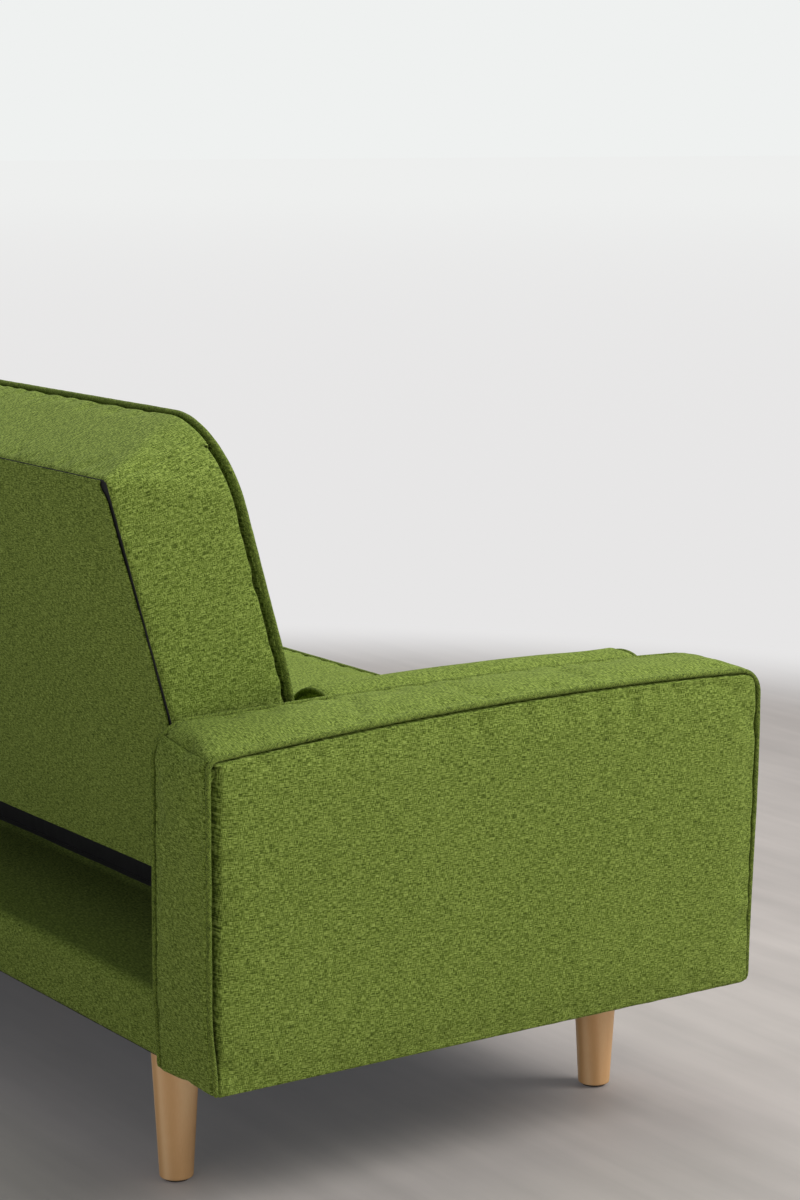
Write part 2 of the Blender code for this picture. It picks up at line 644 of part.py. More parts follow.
def leaf_outline(reach):
    """Outline round a head on the hinge's axis and a smaller tip: the two circles' common tangents."""
    length = math.hypot(*reach)
    heading = math.degrees(math.atan2(reach[1], reach[0]))
    lean = math.degrees(math.acos((LEAF_HEAD_RADIUS - LEAF_TIP_RADIUS) / length))
    head = arc((0.0, 0.0), LEAF_HEAD_RADIUS, heading + lean, heading + 360 - lean, 14)
    tip = arc(reach, LEAF_TIP_RADIUS, heading - lean, heading + lean, 6)
    return head + tip


def make_hinge(side, sign, axis):
    hole = arc((0.0, 0.0), PIN_RADIUS + PIN_CLEARANCE, 0, 337.5, 15)
    fixed_x = sign * (INNER_HALF - BACK_SIDE_GAP * LEAF_CLEARANCE[0] - LEAF_THICK / 2)
    moving_x = sign * (BACK_HALF + BACK_SIDE_GAP * LEAF_CLEARANCE[1] + LEAF_THICK / 2)
    seat_rail_middle = SEAT_BOTTOM + SEAT_RAIL_HEIGHT / 2
    fixed_tip = (-FIXED_LEAF_REACH, seat_rail_middle - HINGE.z)
    plate(f"hinge_{side}_fixed_leaf", [leaf_outline(fixed_tip), hole], LEAF_THICK, "black_steel",
          (fixed_x, HINGE.y, HINGE.z))
    plate(f"hinge_{side}_moving_leaf", [leaf_outline(MOVING_LEAF_REACH), hole], LEAF_THICK, "black_steel",
          (moving_x, 0.0, 0.0), axis)
    pin_length = BACK_SIDE_GAP - 2 * TOUCH
    middle = sign * (INNER_HALF - BACK_SIDE_GAP / 2)
    cylinder(f"hinge_{side}_pin", PIN_RADIUS, pin_length, (middle, HINGE.y, HINGE.z), "black_steel",
             along="X", sides=16)


# ---------------------------------------------------------------- bolsters

def make_bolster(side, sign):
    x = sign * (INNER_HALF - BOLSTER_ARM_GAP - BOLSTER_RADIUS)
    front = ARM_FRONT + BOLSTER_FRONT_INSET
    length = ARM_DEPTH - BOLSTER_FRONT_INSET - BOLSTER_REAR_INSET
    r, end_r = BOLSTER_RADIUS, BOLSTER_END_RADIUS
    domed, edge, taper = end_r * BOLSTER_DOMED_SHARE, BOLSTER_EDGE, length * BOLSTER_TAPER_SHARE
    profile = [(0.0, length), (domed, length - edge[0]), (end_r, length - edge[1]), (r, length - taper),
               (r, taper), (end_r, edge[1]), (domed, edge[0]), (0.0, 0.0)]
    rest = SEAT_SHOULDER + TOUCH
    turned(f"bolster_{side}", profile, (x, front + length, rest + r), "green_fabric", sides=20, along="Y")


def build():
    clear_scene()
    collection = bpy.data.collections.new(COLLECTION)
    bpy.context.scene.collection.children.link(collection)
    axis = bpy.data.objects.new("back_axis", None)
    collection.objects.link(axis)
    axis.location = HINGE
    axis.rotation_euler = (-RAKE, 0.0, 0.0)
    make_base()
    make_legs()
    make_seat()
    make_back(axis)
    for side, sign in SIDES:
        make_arm(side, sign)
        make_hinge(side, sign, axis)
        make_bolster(side, sign)


build()
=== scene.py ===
"""Looks for a two-arm sofa bed: its upholstery, cords, timber and steel, and the studio it stands in."""
import json
import math

import bmesh
import bpy
import numpy as np
from mathutils import Matrix, Vector


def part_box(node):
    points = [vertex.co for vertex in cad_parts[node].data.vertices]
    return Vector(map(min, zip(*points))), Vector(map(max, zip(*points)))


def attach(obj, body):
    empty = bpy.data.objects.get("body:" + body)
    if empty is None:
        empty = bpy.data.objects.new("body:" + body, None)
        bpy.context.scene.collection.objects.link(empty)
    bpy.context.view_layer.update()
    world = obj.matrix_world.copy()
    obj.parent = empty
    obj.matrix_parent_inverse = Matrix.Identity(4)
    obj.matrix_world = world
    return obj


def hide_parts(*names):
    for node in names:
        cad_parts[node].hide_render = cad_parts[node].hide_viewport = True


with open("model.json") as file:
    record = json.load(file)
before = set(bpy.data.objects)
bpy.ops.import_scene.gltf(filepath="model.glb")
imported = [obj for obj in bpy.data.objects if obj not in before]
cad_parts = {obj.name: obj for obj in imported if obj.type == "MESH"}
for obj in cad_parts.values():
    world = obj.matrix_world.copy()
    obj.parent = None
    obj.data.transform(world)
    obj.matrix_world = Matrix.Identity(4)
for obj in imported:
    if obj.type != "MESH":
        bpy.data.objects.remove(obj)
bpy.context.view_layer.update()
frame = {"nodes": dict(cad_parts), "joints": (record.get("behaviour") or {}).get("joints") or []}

# Places that the frame gives
ARM_LOW, ARM_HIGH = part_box("arm_left_cover")
SEAT_LOW, SEAT_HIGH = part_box("seat_cover")
BOLSTER_LOW, BOLSTER_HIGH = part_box("bolster_left")
WRAP_LOW, WRAP_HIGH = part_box("base_rear_wrap")
HINGE = Vector([joint["pos_m"] for joint in frame["joints"] if joint["name"] == "back_recline"][0])
SIDES = (("right", -1), ("left", 1))

# Arm
ARM_CREST = 0.51            # the top's highest line, measured forward from the arm's rear face
OUTER_DROP = 0.0250         # fall of the top's outer edge from there to the rear
INNER_DROP = 0.0085         # and of its inner edge
FRONT_DROP = 0.005
OUTER_REAR_RADIUS = 0.014   # rear top corner, at the outer and at the inner edge
INNER_REAR_RADIUS = 0.045
FRONT_RADIUS = 0.030
REAR_FOOT_RADIUS, FRONT_FOOT_RADIUS = 0.004, 0.011
FOOT_RISE = 0.006           # lower edge, from rear to front
REAR_SWELL = (0.0066, 0.0042)   # how far the upper rear border stands out, at its outer and inner edge
FRONT_LEAN = 0.0085         # how far the front's top stands ahead of its foot

# Back slab, in the frame of its hinge: across, up the slab, and rearward
RAKE = math.radians(16.0)
BACK_HALF = 0.890
BACK_FRONT, BACK_REAR = -0.050, 0.090
BACK_WIDENING = 0.004       # on each side, above the arms
BACK_FULLNESS = 0.0135      # how far the front face stands out above the arms
BACK_TOP = (0.4925, 0.477)  # at the front face and at the rear
BACK_FOOT = (-0.045, -0.008)
BACK_RADIUS = (0.100, 0.006)
BACK_SINK, BACK_REAR_SINK = 0.0054, 0.0016
BACK_REACH = 0.0014         # how far the back's cord covers each face beside its seam
SLIT = 0.0090               # open joint beside the rear panel

# Seat
SEAT_SHOULDER = 0.394
SEAT_SHOULDER_WIDTH = 0.150
SEAT_CROWN_START = 0.300
SEAT_SWELL = 0.007
SLAB_EDGE = 0.006           # radius of the seat's upright corners and of the back's foot

# Cords in the seams
CORD_RADIUS = 0.0029
BACK_CORD_RADIUS = 0.0035
SEAM_SINK = 0.0045          # depth of a seam under the two faces that meet over it
PLAIN_SINK = 0.0012         # the same where the seam has no cord
CORD_INSET = 0.0027         # centre of an arm's or the seat's cord under both faces
CORD_REACH = CORD_INSET + CORD_RADIUS - SEAM_SINK
GAP_DEPTH = 2.2             # depth of a gap behind a cord, to its width
GAP_FLOOR = 0.0110          # and its greatest depth

SOFT_STEP = 0.0052          # spacing of the upholstery's mesh
SIM_STEP = 0.016            # spacing of the cloth that is simulated
SIM_FRAMES = 20

BOLSTER_MIDDLE = (BOLSTER_LOW + BOLSTER_HIGH) / 2
BOLSTER_RADIUS = (BOLSTER_HIGH.x - BOLSTER_LOW.x) / 2
BOLSTER_SEAM = 0.0655       # radius at the seams of its round ends
LEG_TAPER = 0.69            # a leg's foot, to its top

CLOTH_HEART = (0.0, 0.0, 0.25)      # inside the sofa: every thin cloth faces away from here

# Camera
CAMERA_PLACE = (-3.562, 1.821, 1.17)
CAMERA_HEADING, CAMERA_DIP, CAMERA_ROLL = math.radians(34.0), math.radians(9.45), math.radians(0.22)
CAMERA_LENS = 87.9


# ---------------------------------------------------------------- numbers and meshes

def mix(a, b, t):
    return a + (b - a) * t


def smooth(x):
    x = np.clip(x, 0.0, 1.0)
    return x * x * (3.0 - 2.0 * x)


def rolled(x):
    """A quarter circle's fall towards an edge: 1 at x = 0, and 0 from x = 1 on."""
    x = np.clip(x, 0.0, 1.0)
    return 1.0 - np.sqrt(np.clip(1.0 - (1.0 - x) ** 2, 0.0, 1.0))


def unevenness(u, v, size, seed):
    """Smooth, repeatable unevenness of about -1 to 1 over a surface, with lumps of the given size."""
    rng = np.random.default_rng(seed)
    total = np.zeros(np.broadcast(u, v).shape)
    for _ in range(9):
        heading, phase = rng.uniform(0.0, 2.0 * math.pi, 2)
        k = 2.0 * math.pi / (size * rng.uniform(0.7, 1.8))
        total += np.sin(k * (u * math.cos(heading) + v * math.sin(heading)) + phase)
    return total / 4.0


def spread(length, step, fine):
    """Shares of a length, from 0 to 1; with fine they close up towards both ends, where the seams are."""
    if not fine:
        return np.linspace(0.0, 1.0, max(4, round(length / step)) + 1)
    near = np.array([0.0, 0.0004, 0.0015, 0.0030, 0.0042, 0.0052, 0.0060, 0.0068, 0.0077, 0.0087, 0.0098,
                     0.0111, 0.0125, 0.0142, 0.0165, 0.0200])
    near = near[near < length * 0.4]
    middle = np.linspace(near[-1], length - near[-1], max(2, round((length - 2 * near[-1]) / step)) + 1)
    return np.concatenate([near, middle[1:-1], length - near[::-1]]) / length


def length_of(line):
    return np.linalg.norm(np.diff(line, axis=0), axis=1).sum()


def runs(points, axis=0):
    """Distances run along a line, or along a grid's lines, from the first point."""
    steps = np.linalg.norm(np.diff(points, axis=axis), axis=-1)
    return np.insert(np.cumsum(steps, axis=axis), 0, 0.0, axis=axis)


def pairs(a, b):
    """Cloth coordinates of a grid from a row and a column of values."""
    return np.stack(np.broadcast_arrays(a, b), axis=-1)


def edge_points(grid):
    """A grid's outermost points, the way round that an outline goes."""
    return np.concatenate([grid[0], grid[:, -1], grid[-1, ::-1], grid[::-1, 0]])


def normals_of(points, heart):
    """Directions out of a grid's surface, away from a place inside the body."""
    normal = np.cross(np.gradient(points, axis=0), np.gradient(points, axis=1))
    normal = normal / np.maximum(np.linalg.norm(normal, axis=2), 1e-12)[..., None]
    return normal if np.sum(normal * (points - np.array(heart))) > 0 else -normal


def along(line, shares):
    """Points at shares of a polyline's length."""
    reach = runs(line)
    return np.stack([np.interp(shares * reach[-1], reach, column) for column in line.T], axis=1)


def rounded_quad(corners, radii, steps=12):
    """Four sides of a quadrilateral with rounded corners, split in the middle of each corner.
    The corners go round as lower left, upper left, upper right, lower right."""
    corners = np.array(corners, float)
    first, second = [], []
    for k in range(4):
        p, before, after = corners[k], corners[k - 1], corners[(k + 1) % 4]
        back = (before - p) / np.linalg.norm(before - p)
        on = (after - p) / np.linalg.norm(after - p)
        half = math.acos(np.clip(back @ on, -1.0, 1.0)) / 2
        centre = p + (back + on) / np.linalg.norm(back + on) * radii[k] / math.sin(half)
        leg = radii[k] / math.tan(half)
        a, b = p + back * leg - centre, p + on * leg - centre
        turn = math.atan2(a[0] * b[1] - a[1] * b[0], a @ b)
        angles = np.linspace(0.0, turn, 2 * steps + 1)
        arc = centre + np.stack([a[0] * np.cos(angles) - a[1] * np.sin(angles),
                                 a[0] * np.sin(angles) + a[1] * np.cos(angles)], axis=1)
        first.append(arc[:steps + 1])
        second.append(arc[steps:])
    return [np.concatenate([second[k], first[(k + 1) % 4]]) for k in range(4)]


def outward(loop):
    """Mitred outward direction at each point of a closed clockwise line."""
    ahead = np.roll(loop, -1, axis=0) - loop
    length = np.linalg.norm(ahead, axis=1)
    # the loop's corners are doubled points, so a direction is taken from the nearest real step
    for i in np.nonzero(length < 1e-9)[0]:
        ahead[i] = ahead[i - 1] if length[i - 1] > 1e-9 else ahead[i - 2]
        length[i] = max(np.linalg.norm(ahead[i]), 1e-9)
    ahead /= np.linalg.norm(ahead, axis=1)[:, None]
    normal = np.stack([-ahead[:, 1], ahead[:, 0]], axis=1)
    before = np.roll(normal, 1, axis=0)
    return (normal + before) / (1.0 + np.sum(normal * before, axis=1))[:, None]


def spline(q, knots, values):
    """Values at q of a smooth line through values at knots, along the first axis."""
    slope = np.gradient(values, knots, axis=0)
    i = np.clip(np.searchsorted(knots, q) - 1, 0, len(knots) - 2)
    gap = knots[i + 1] - knots[i]
    x = (q - knots[i]) / gap
    shape = (-1,) + (1,) * (values.ndim - 1)
    x, gap = x.reshape(shape), gap.reshape(shape)
    return (values[i] * (1 + 2 * x) * (1 - x) ** 2 + slope[i] * gap * x * (1 - x) ** 2
            + values[i + 1] * x * x * (3 - 2 * x) + slope[i + 1] * gap * x * x * (x - 1))


def resampled(grid, knots, targets):
    """Values of a grid at new places along both of its axes."""
    made = spline(targets[0], knots[0], grid)
    return np.swapaxes(spline(targets[1], knots[1], np.swapaxes(made, 0, 1)), 0, 1)


class Cloth:
    """Grids of points with their cloth coordinates in metres, sewn into one mesh."""

    def __init__(self):
        self.points, self.faces, self.threads = [], [], []
        self.count = 0

    def grid(self, points, threads):
        rows, columns = points.shape[:2]
        index = self.count + np.arange(rows * columns).reshape(rows, columns)
        a, b, c, d = index[:-1, :-1], index[1:, :-1], index[1:, 1:], index[:-1, 1:]
        self.points.append(points.reshape(-1, 3))
        self.faces.append(np.stack([a, b, c, d], axis=-1).reshape(-1, 4))
        self.threads.append(np.asarray(threads, float).reshape(-1, 2))
        self.count += rows * columns
        return index

    def mesh(self, name, sew=0.00004):
        points = np.concatenate(self.points)
        faces = np.concatenate(self.faces)
        threads = np.concatenate(self.threads)
        mesh = bpy.data.meshes.new(name)
        mesh.from_pydata(points.tolist(), [], faces.tolist())
        layer = mesh.uv_layers.new(name="threads")
        layer.data.foreach_set("uv", threads[faces.reshape(-1)].astype(np.float32).reshape(-1))
        bm = bmesh.new()
        bm.from_mesh(mesh)
        bmesh.ops.remove_doubles(bm, verts=bm.verts, dist=sew)
        bmesh.ops.dissolve_degenerate(bm, edges=bm.edges, dist=1e-6)
        bmesh.ops.recalc_face_normals(bm, faces=bm.faces)
        bm.to_mesh(mesh)
        bm.free()
        return mesh


def finished(name, mesh, body, slot, replaced=(), finish=None):
    """Puts a mesh in the scene as a finished piece that moves with a body."""
    mesh.materials.clear()
    mesh.materials.append(finish or FINISHES[slot])
    mesh.shade_smooth()
    mesh.name = name
    piece = bpy.data.objects.new(name, mesh)
    bpy.context.scene.collection.objects.link(piece)
    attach(piece, body)
    if replaced:
        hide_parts(*replaced)
    return piece


def lining_and_painted_shade(piece, chosen):
    """Gives the black lining to those faces of a piece whose centres a test on x, y and z chooses; where these
    faces lie in shade, their black is partly painted shade.
    """
    centre = np.zeros(len(piece.data.polygons) * 3)
    piece.data.polygons.foreach_get("center", centre)
    piece.data.materials.append(LINING)
    piece.data.polygons.foreach_set("material_index", chosen(*centre.reshape(-1, 3).T).astype(np.int32))


# ---------------------------------------------------------------- materials

def linear(code, alpha=1.0):
    """An sRGB hex colour as linear values."""
    values = [int(code[i:i + 2], 16) / 255 for i in (1, 3, 5)]
    return tuple(v / 12.92 if v <= 0.04045 else ((v + 0.055) / 1.055) ** 2.4 for v in values) + (alpha,)


def add(tree, kind, inputs=None, **settings):
    """Adds a node: settings are its properties, and inputs its sockets' values or the sockets to link."""
    made = tree.nodes.new(kind)
    for key, value in settings.items():
        setattr(made, key, value)
    for key, value in (inputs or {}).items():
        if isinstance(value, bpy.types.NodeSocket):
            tree.links.new(value, made.inputs[key])
        else:
            made.inputs[key].default_value = value
    return made


def blank(name, **sockets):
    """A new material with a Principled shader, whose constant values are set on its own sockets."""
    made = bpy.data.materials.new(name)
    made.use_nodes = True
    tree = made.node_tree
    shader = tree.nodes["Principled BSDF"]
    for key, value in sockets.items():
        shader.inputs[key.replace("_", " ")].default_value = value
    return made, tree, shader


def ramp(tree, value, stops):
    made = add(tree, "ShaderNodeValToRGB", {"Fac": value})
    row = made.color_ramp.elements
    while len(row) < len(stops):
        row.new(0.5)
    for element, (place, code) in zip(row, stops):
        element.position, element.color = place, linear(code)
    return made.outputs["Color"]


def woven(name, dark, mid, light, bias=0.0):
    """Heathered polyester linen-look plain weave: yarns of mixed greens, with slubs.
    It gives the eye a fine two-way fleck, matt, with a faint sheen where it turns away."""
    made, tree, shader = blank(name, Roughness=0.95, Sheen_Weight=0.07, Sheen_Roughness=0.45,
                               Specular_IOR_Level=0.12)
    shader.inputs["Sheen Tint"].default_value = linear("#B9C98A")
    threads = add(tree, "ShaderNodeUVMap", uv_map="threads").outputs["UV"]
    turned = add(tree, "ShaderNodeMapping", {
        "Vector": threads, "Rotation": (0.0, 0.0, bias)}).outputs["Vector"]

    def yarn(width, length):
        """Noise drawn out along a yarn, its width and length in millimetres."""
        scaled = add(tree, "ShaderNodeMapping", {
            "Vector": turned, "Scale": (1000.0 / width, 1000.0 / length, 1.0)}).outputs["Vector"]
        return add(tree, "ShaderNodeTexNoise", {"Vector": scaled, "Scale": 1.0, "Detail": 0.0},
                   noise_dimensions="2D").outputs["Fac"]

    def math_node(kind, a, b):
        return add(tree, "ShaderNodeMath", {0: a, 1: b}, operation=kind).outputs[0]

    def blend(a, share_a, b, share_b):
        return math_node("ADD", math_node("MULTIPLY", a, share_a), math_node("MULTIPLY", b, share_b))

    fleck = blend(yarn(0.52, 4.5), 0.48, yarn(6.0, 0.52), 0.52)
    slubs = blend(yarn(0.8, 16.0), 0.35, yarn(22.0, 0.8), 0.65)
    cloudy = add(tree, "ShaderNodeTexNoise", {"Vector": threads, "Scale": 7.0, "Detail": 2.0},
                 noise_dimensions="2D").outputs["Fac"]
    tone = math_node("ADD", math_node("MULTIPLY", fleck, 0.72), blend(slubs, 0.26, cloudy, 0.02))
    colour = ramp(tree, tone, [(0.385, dark), (0.50, mid), (0.615, light)])
    tree.links.new(colour, shader.inputs["Base Color"])

    # plain weave relief: over and under at a pitch of 1.1 mm, broken up by the yarns' own thickness
    split = add(tree, "ShaderNodeSeparateXYZ", {"Vector": turned})
    over = [add(tree, "ShaderNodeMath", {0: math_node("MULTIPLY", split.outputs[k], 2 * math.pi / 0.0011)},
                operation="SINE").outputs[0] for k in ("X", "Y")]
    weave = math_node("MULTIPLY", over[0], over[1])
    relief = math_node("ADD", math_node("MULTIPLY", weave, 0.22), fleck)
    bump = add(tree, "ShaderNodeBump", {"Height": relief, "Strength": 0.15, "Distance": 0.0005})
    tree.links.new(bump.outputs["Normal"], shader.inputs["Normal"])
    return made


def timber(name, dark, mid, light, ring=7.0, roughness=0.5, coat=0.0):
    """Straight-grained wood: rings of a few millimetres, drawn out along Z, and fine dark pores."""
    made, tree, shader = blank(name, Roughness=roughness, Coat_Weight=coat, Coat_Roughness=0.35, IOR=1.5)
    place = add(tree, "ShaderNodeTexCoord").outputs["Object"]
    long = add(tree, "ShaderNodeMapping", {"Vector": place, "Scale": (1.0, 1.0, 0.07)}).outputs["Vector"]
    wavy = add(tree, "ShaderNodeTexNoise", {"Vector": long, "Scale": 26.0, "Detail": 3.0})
    shift = add(tree, "ShaderNodeVectorMath", {0: wavy.outputs["Color"], "Scale": 0.020}, operation="SCALE")
    bent = add(tree, "ShaderNodeVectorMath", {0: long, 1: shift.outputs[0]}, operation="ADD").outputs[0]
    rings = add(tree, "ShaderNodeTexWave", {
        "Vector": bent, "Scale": 1000.0 / ring / 6.283, "Distortion": 1.6, "Detail": 2.0,
        "Detail Scale": 1.5}, wave_type="RINGS", rings_direction="Y").outputs["Fac"]
    pored = add(tree, "ShaderNodeMapping", {"Vector": place, "Scale": (1400.0, 1400.0, 90.0)})
    pores = add(tree, "ShaderNodeTexNoise", {
        "Vector": pored.outputs["Vector"], "Scale": 1.0, "Detail": 1.0}).outputs["Fac"]
    tone = add(tree, "ShaderNodeMix", {"Factor": 0.35, 2: rings, 3: pores}, data_type="FLOAT").outputs[0]
    tree.links.new(ramp(tree, tone, [(0.15, dark), (0.5, mid), (0.85, light)]), shader.inputs["Base Color"])
    bump = add(tree, "ShaderNodeBump", {"Height": pores, "Strength": 0.25, "Distance": 0.0002})
    tree.links.new(bump.outputs["Normal"], shader.inputs["Normal"])
    return made


def grained(name, dark, light, size, roughness, metallic=0.0, relief=0.0):
    """A plain finish with grains of a size in millimetres in its colour and its relief."""
    made, tree, shader = blank(name, Roughness=roughness, Metallic=metallic)
    place = add(tree, "ShaderNodeTexCoord").outputs["Object"]
    sized = add(tree, "ShaderNodeMapping", {"Vector": place, "Scale": (1000.0 / size,) * 3})
    grains = add(tree, "ShaderNodeTexNoise", {"Vector": sized.outputs["Vector"], "Scale": 1.0, "Detail": 3.0})
    grains = grains.outputs["Fac"]
    tree.links.new(ramp(tree, grains, [(0.3, dark), (0.7, light)]), shader.inputs["Base Color"])
    bump = add(tree, "ShaderNodeBump", {"Height": grains, "Strength": 0.4, "Distance": relief})
    tree.links.new(bump.outputs["Normal"], shader.inputs["Normal"])
    return made


GREEN = woven("heathered_linen_weave", "#3D4A1A", "#627428", "#92A351")
# The cords' cloth: the same weave cut on the bias, in darker tones that are painted shade on the cords sunk in
# the seams
GREEN_BIAS_PAINTED_SHADE = woven("bias_cut_linen_weave", "#37421A", "#596A27", "#7F8E42", bias=math.radians(45))
# Turned and lacquered beech: warm, fine straight grain with a soft shine
BEECH = timber("lacquered_turned_beech", "#D3A36C", "#DDAF7B", "#E5BC8A", ring=9.0, roughness=0.55, coat=0.08)
# Sawn softwood frame: pale, with broad rings, matt
PINE = timber("sawn_pine", "#B98F58", "#D6B27C", "#E6CB9C", ring=8.0, roughness=0.75)
PLYWOOD = timber("rotary_cut_plywood", "#AE8A5C", "#C7A678", "#D9BE94", ring=18.0, roughness=0.7)
# Spun-bonded polypropylene lining: near black, with the faint pitting of its bonding
LINING = grained("spunbonded_black_lining", "#0B0B0C", "#1C1C1E", 1.6, 0.85, relief=0.0003)
# Open-cell polyurethane foam: cream, matt, pored
FOAM = grained("open_cell_foam", "#D8CDA6", "#EDE5C8", 1.2, 0.95, relief=0.0006)
# Drawn spring wire: grey steel, streaked along its length
WIRE = grained("drawn_spring_wire", "#77777A", "#9A9A9E", 2.0, 0.38, metallic=1.0, relief=0.00005)
# Pressed steel with a black powder coat: satin, with an orange-peel surface
BLACK_STEEL = grained("black_powder_coat", "#141415", "#1F1F21", 0.9, 0.42, relief=0.0001)
# Pressed wool felt under the legs: brown-grey fibres
FELT = grained("pressed_felt", "#3C352E", "#5E554A", 0.8, 0.95, relief=0.0004)
# Zinc-plated staples and bolts: light grey metal, slightly dulled
ZINC = grained("zinc_plated_steel", "#A9ABAE", "#C5C7CA", 1.5, 0.35, metallic=1.0, relief=0.00005)
FINISHES = {"beech": BEECH, "pine": PINE, "plywood": PLYWOOD, "black_nonwoven": LINING, "foam": FOAM,
            "spring_steel": WIRE, "black_steel": BLACK_STEEL, "felt": FELT, "green_fabric": GREEN,
            "green_piping": GREEN_BIAS_PAINTED_SHADE}


# ---------------------------------------------------------------- upholstered slabs

class Slab:
    """An upholstered slab: two faces and the border between them, with a sunk seam round each face.

    outline(t) gives its four sides at share t of its thickness, from face 0 to face 1.
    place(a, b, c) puts a point of the outline at depth c into the row frame.
    Per face and side: sinks is how deep the seam lies, rolls how wide the foam's rounded edge is, notched
    is 1 where the seam has a cord, and face_gaps and border_gaps are how far the cover stands off the cord."""

    def __init__(self, outline, depths, place, sinks, rolls, notched, face_gaps, border_gaps, reach):
        self.outline, self.depths, self.place = outline, depths, place
        self.sinks, self.rolls, self.notched = sinks, rolls, notched
        self.face_gaps, self.border_gaps, self.reach = face_gaps, border_gaps, reach
        self.lengths = [length_of(side) for side in outline(0.5)]

    def sample(self, step, fine):
        tall = spread((self.lengths[0] + self.lengths[2]) / 2, step, fine)
        wide = spread((self.lengths[1] + self.lengths[3]) / 2, step, fine)
        deep = spread(abs(self.depths[1] - self.depths[0]), step, fine)
        return tall, wide, deep

    def loop(self, t, tall, wide):
        """The outline's points, all the way round."""
        shares = (tall, wide, 1.0 - tall[::-1], 1.0 - wide[::-1])
        return np.concatenate([along(side, share) for side, share in zip(self.outline(t), shares)])

    def profile(self, distance, face, side, gap):
        """Depth of the surface at a distance from a seam: it rolls in over the foam's edge, and where it
        stands off the cord it first drops away behind it, which leaves a dark line."""
        sink, roll, notched = self.sinks[face][side], self.rolls[face][side], self.notched[face][side]
        start = notched * (self.reach * mix(0.5, 1.0, smooth(gap / 0.0010)) + gap)
        x = np.clip((distance - start) / roll, 0.0, 1.0)
        behind = (np.clip(gap * GAP_DEPTH, 0.0, GAP_FLOOR) * smooth(distance / 0.0016)
                  * (1 - smooth((distance - start) / 0.0014)))
        return sink * mix((1.0 - x) ** 2, rolled(x), notched) + notched * behind

    @staticmethod
    def gap(value, points):
        """A gap's width: one number, or a function of place in the outline."""
        if callable(value):
            return value(points[..., 0], points[..., 1])
        return np.full(points.shape[:-1], value)

    def grids(self, step, fine):
        """Face 0 and face 1, each with its points' distances from its four seams, then the border, all as
        grids in outline space, (a, b, c), and last the shares of the outline at which their points lie."""
        tall, wide, deep = self.sample(step, fine)
        n, m = len(tall), len(wide)
        counts = (n, m, n, m)
        corner = np.cumsum((0,) + counts)
        inward = 1.0 if self.depths[1] > self.depths[0] else -1.0
        made, edges = [], []
        for face, into in ((0, inward), (1, -inward)):
            ring = self.loop(float(face), tall, wide)
            sink = np.repeat(self.sinks[face], counts)
            for k in range(4):      # the sink changes over from side to side at the corners
                value = max(self.sinks[face][k - 1], self.sinks[face][k])
                sink[corner[k]] = sink[corner[k] - 1] = value
            ring = ring - outward(ring) * sink[:, None]
            left, top = ring[:n], ring[n:n + m]
            right, foot = ring[n + m:2 * n + m][::-1], ring[2 * n + m:][::-1]
            s, u = wide[:, None, None], tall[None, :, None]
            flat = ((1 - s) * left[None] + s * right[None] + (1 - u) * foot[:, None] + u * top[:, None]
                    - (1 - s) * (1 - u) * left[0] - s * (1 - u) * right[0]
                    - (1 - s) * u * left[-1] - s * u * right[-1])
            across, upward = runs(flat, 0), runs(flat, 1)
            off = (across, upward[:, -1:] - upward, across[-1:] - across, upward)
            depth = np.max([self.profile(off[k], face, k, self.gap(self.face_gaps[face][k], flat))
                            for k in range(4)], axis=0)
            made.append((np.dstack([flat, self.depths[face] + into * depth]), off))
            edges.append(self.depths[face] + into * edge_points(depth))
        border = np.zeros((2 * (n + m), len(deep), 3))
        side = np.repeat(range(4), counts)
        for j, q in enumerate(deep):
            ring = self.loop(q, tall, wide)
            c = mix(edges[0], edges[1], q)
            inset = np.zeros(len(c))
            for k in range(4):
                here = side == k
                gaps = [self.gap(self.border_gaps[f][k], ring[here]) for f in (0, 1)]
                inset[here] = np.maximum(*(self.profile(np.abs(c - edges[f])[here], f, k, gaps[f])
                                           for f in (0, 1)))
            border[:, j, :2] = ring - outward(ring) * inset[:, None]
            border[:, j, 2] = c
        border[:, 0], border[:, -1] = edge_points(made[0][0]), edge_points(made[1][0])
        return made[0], made[1], border, (tall, wide, deep)


def placed(slab, grid):
    return np.stack(slab.place(grid[..., 0], grid[..., 1], grid[..., 2]), axis=-1)


# ---------------------------------------------------------------- cloth simulation

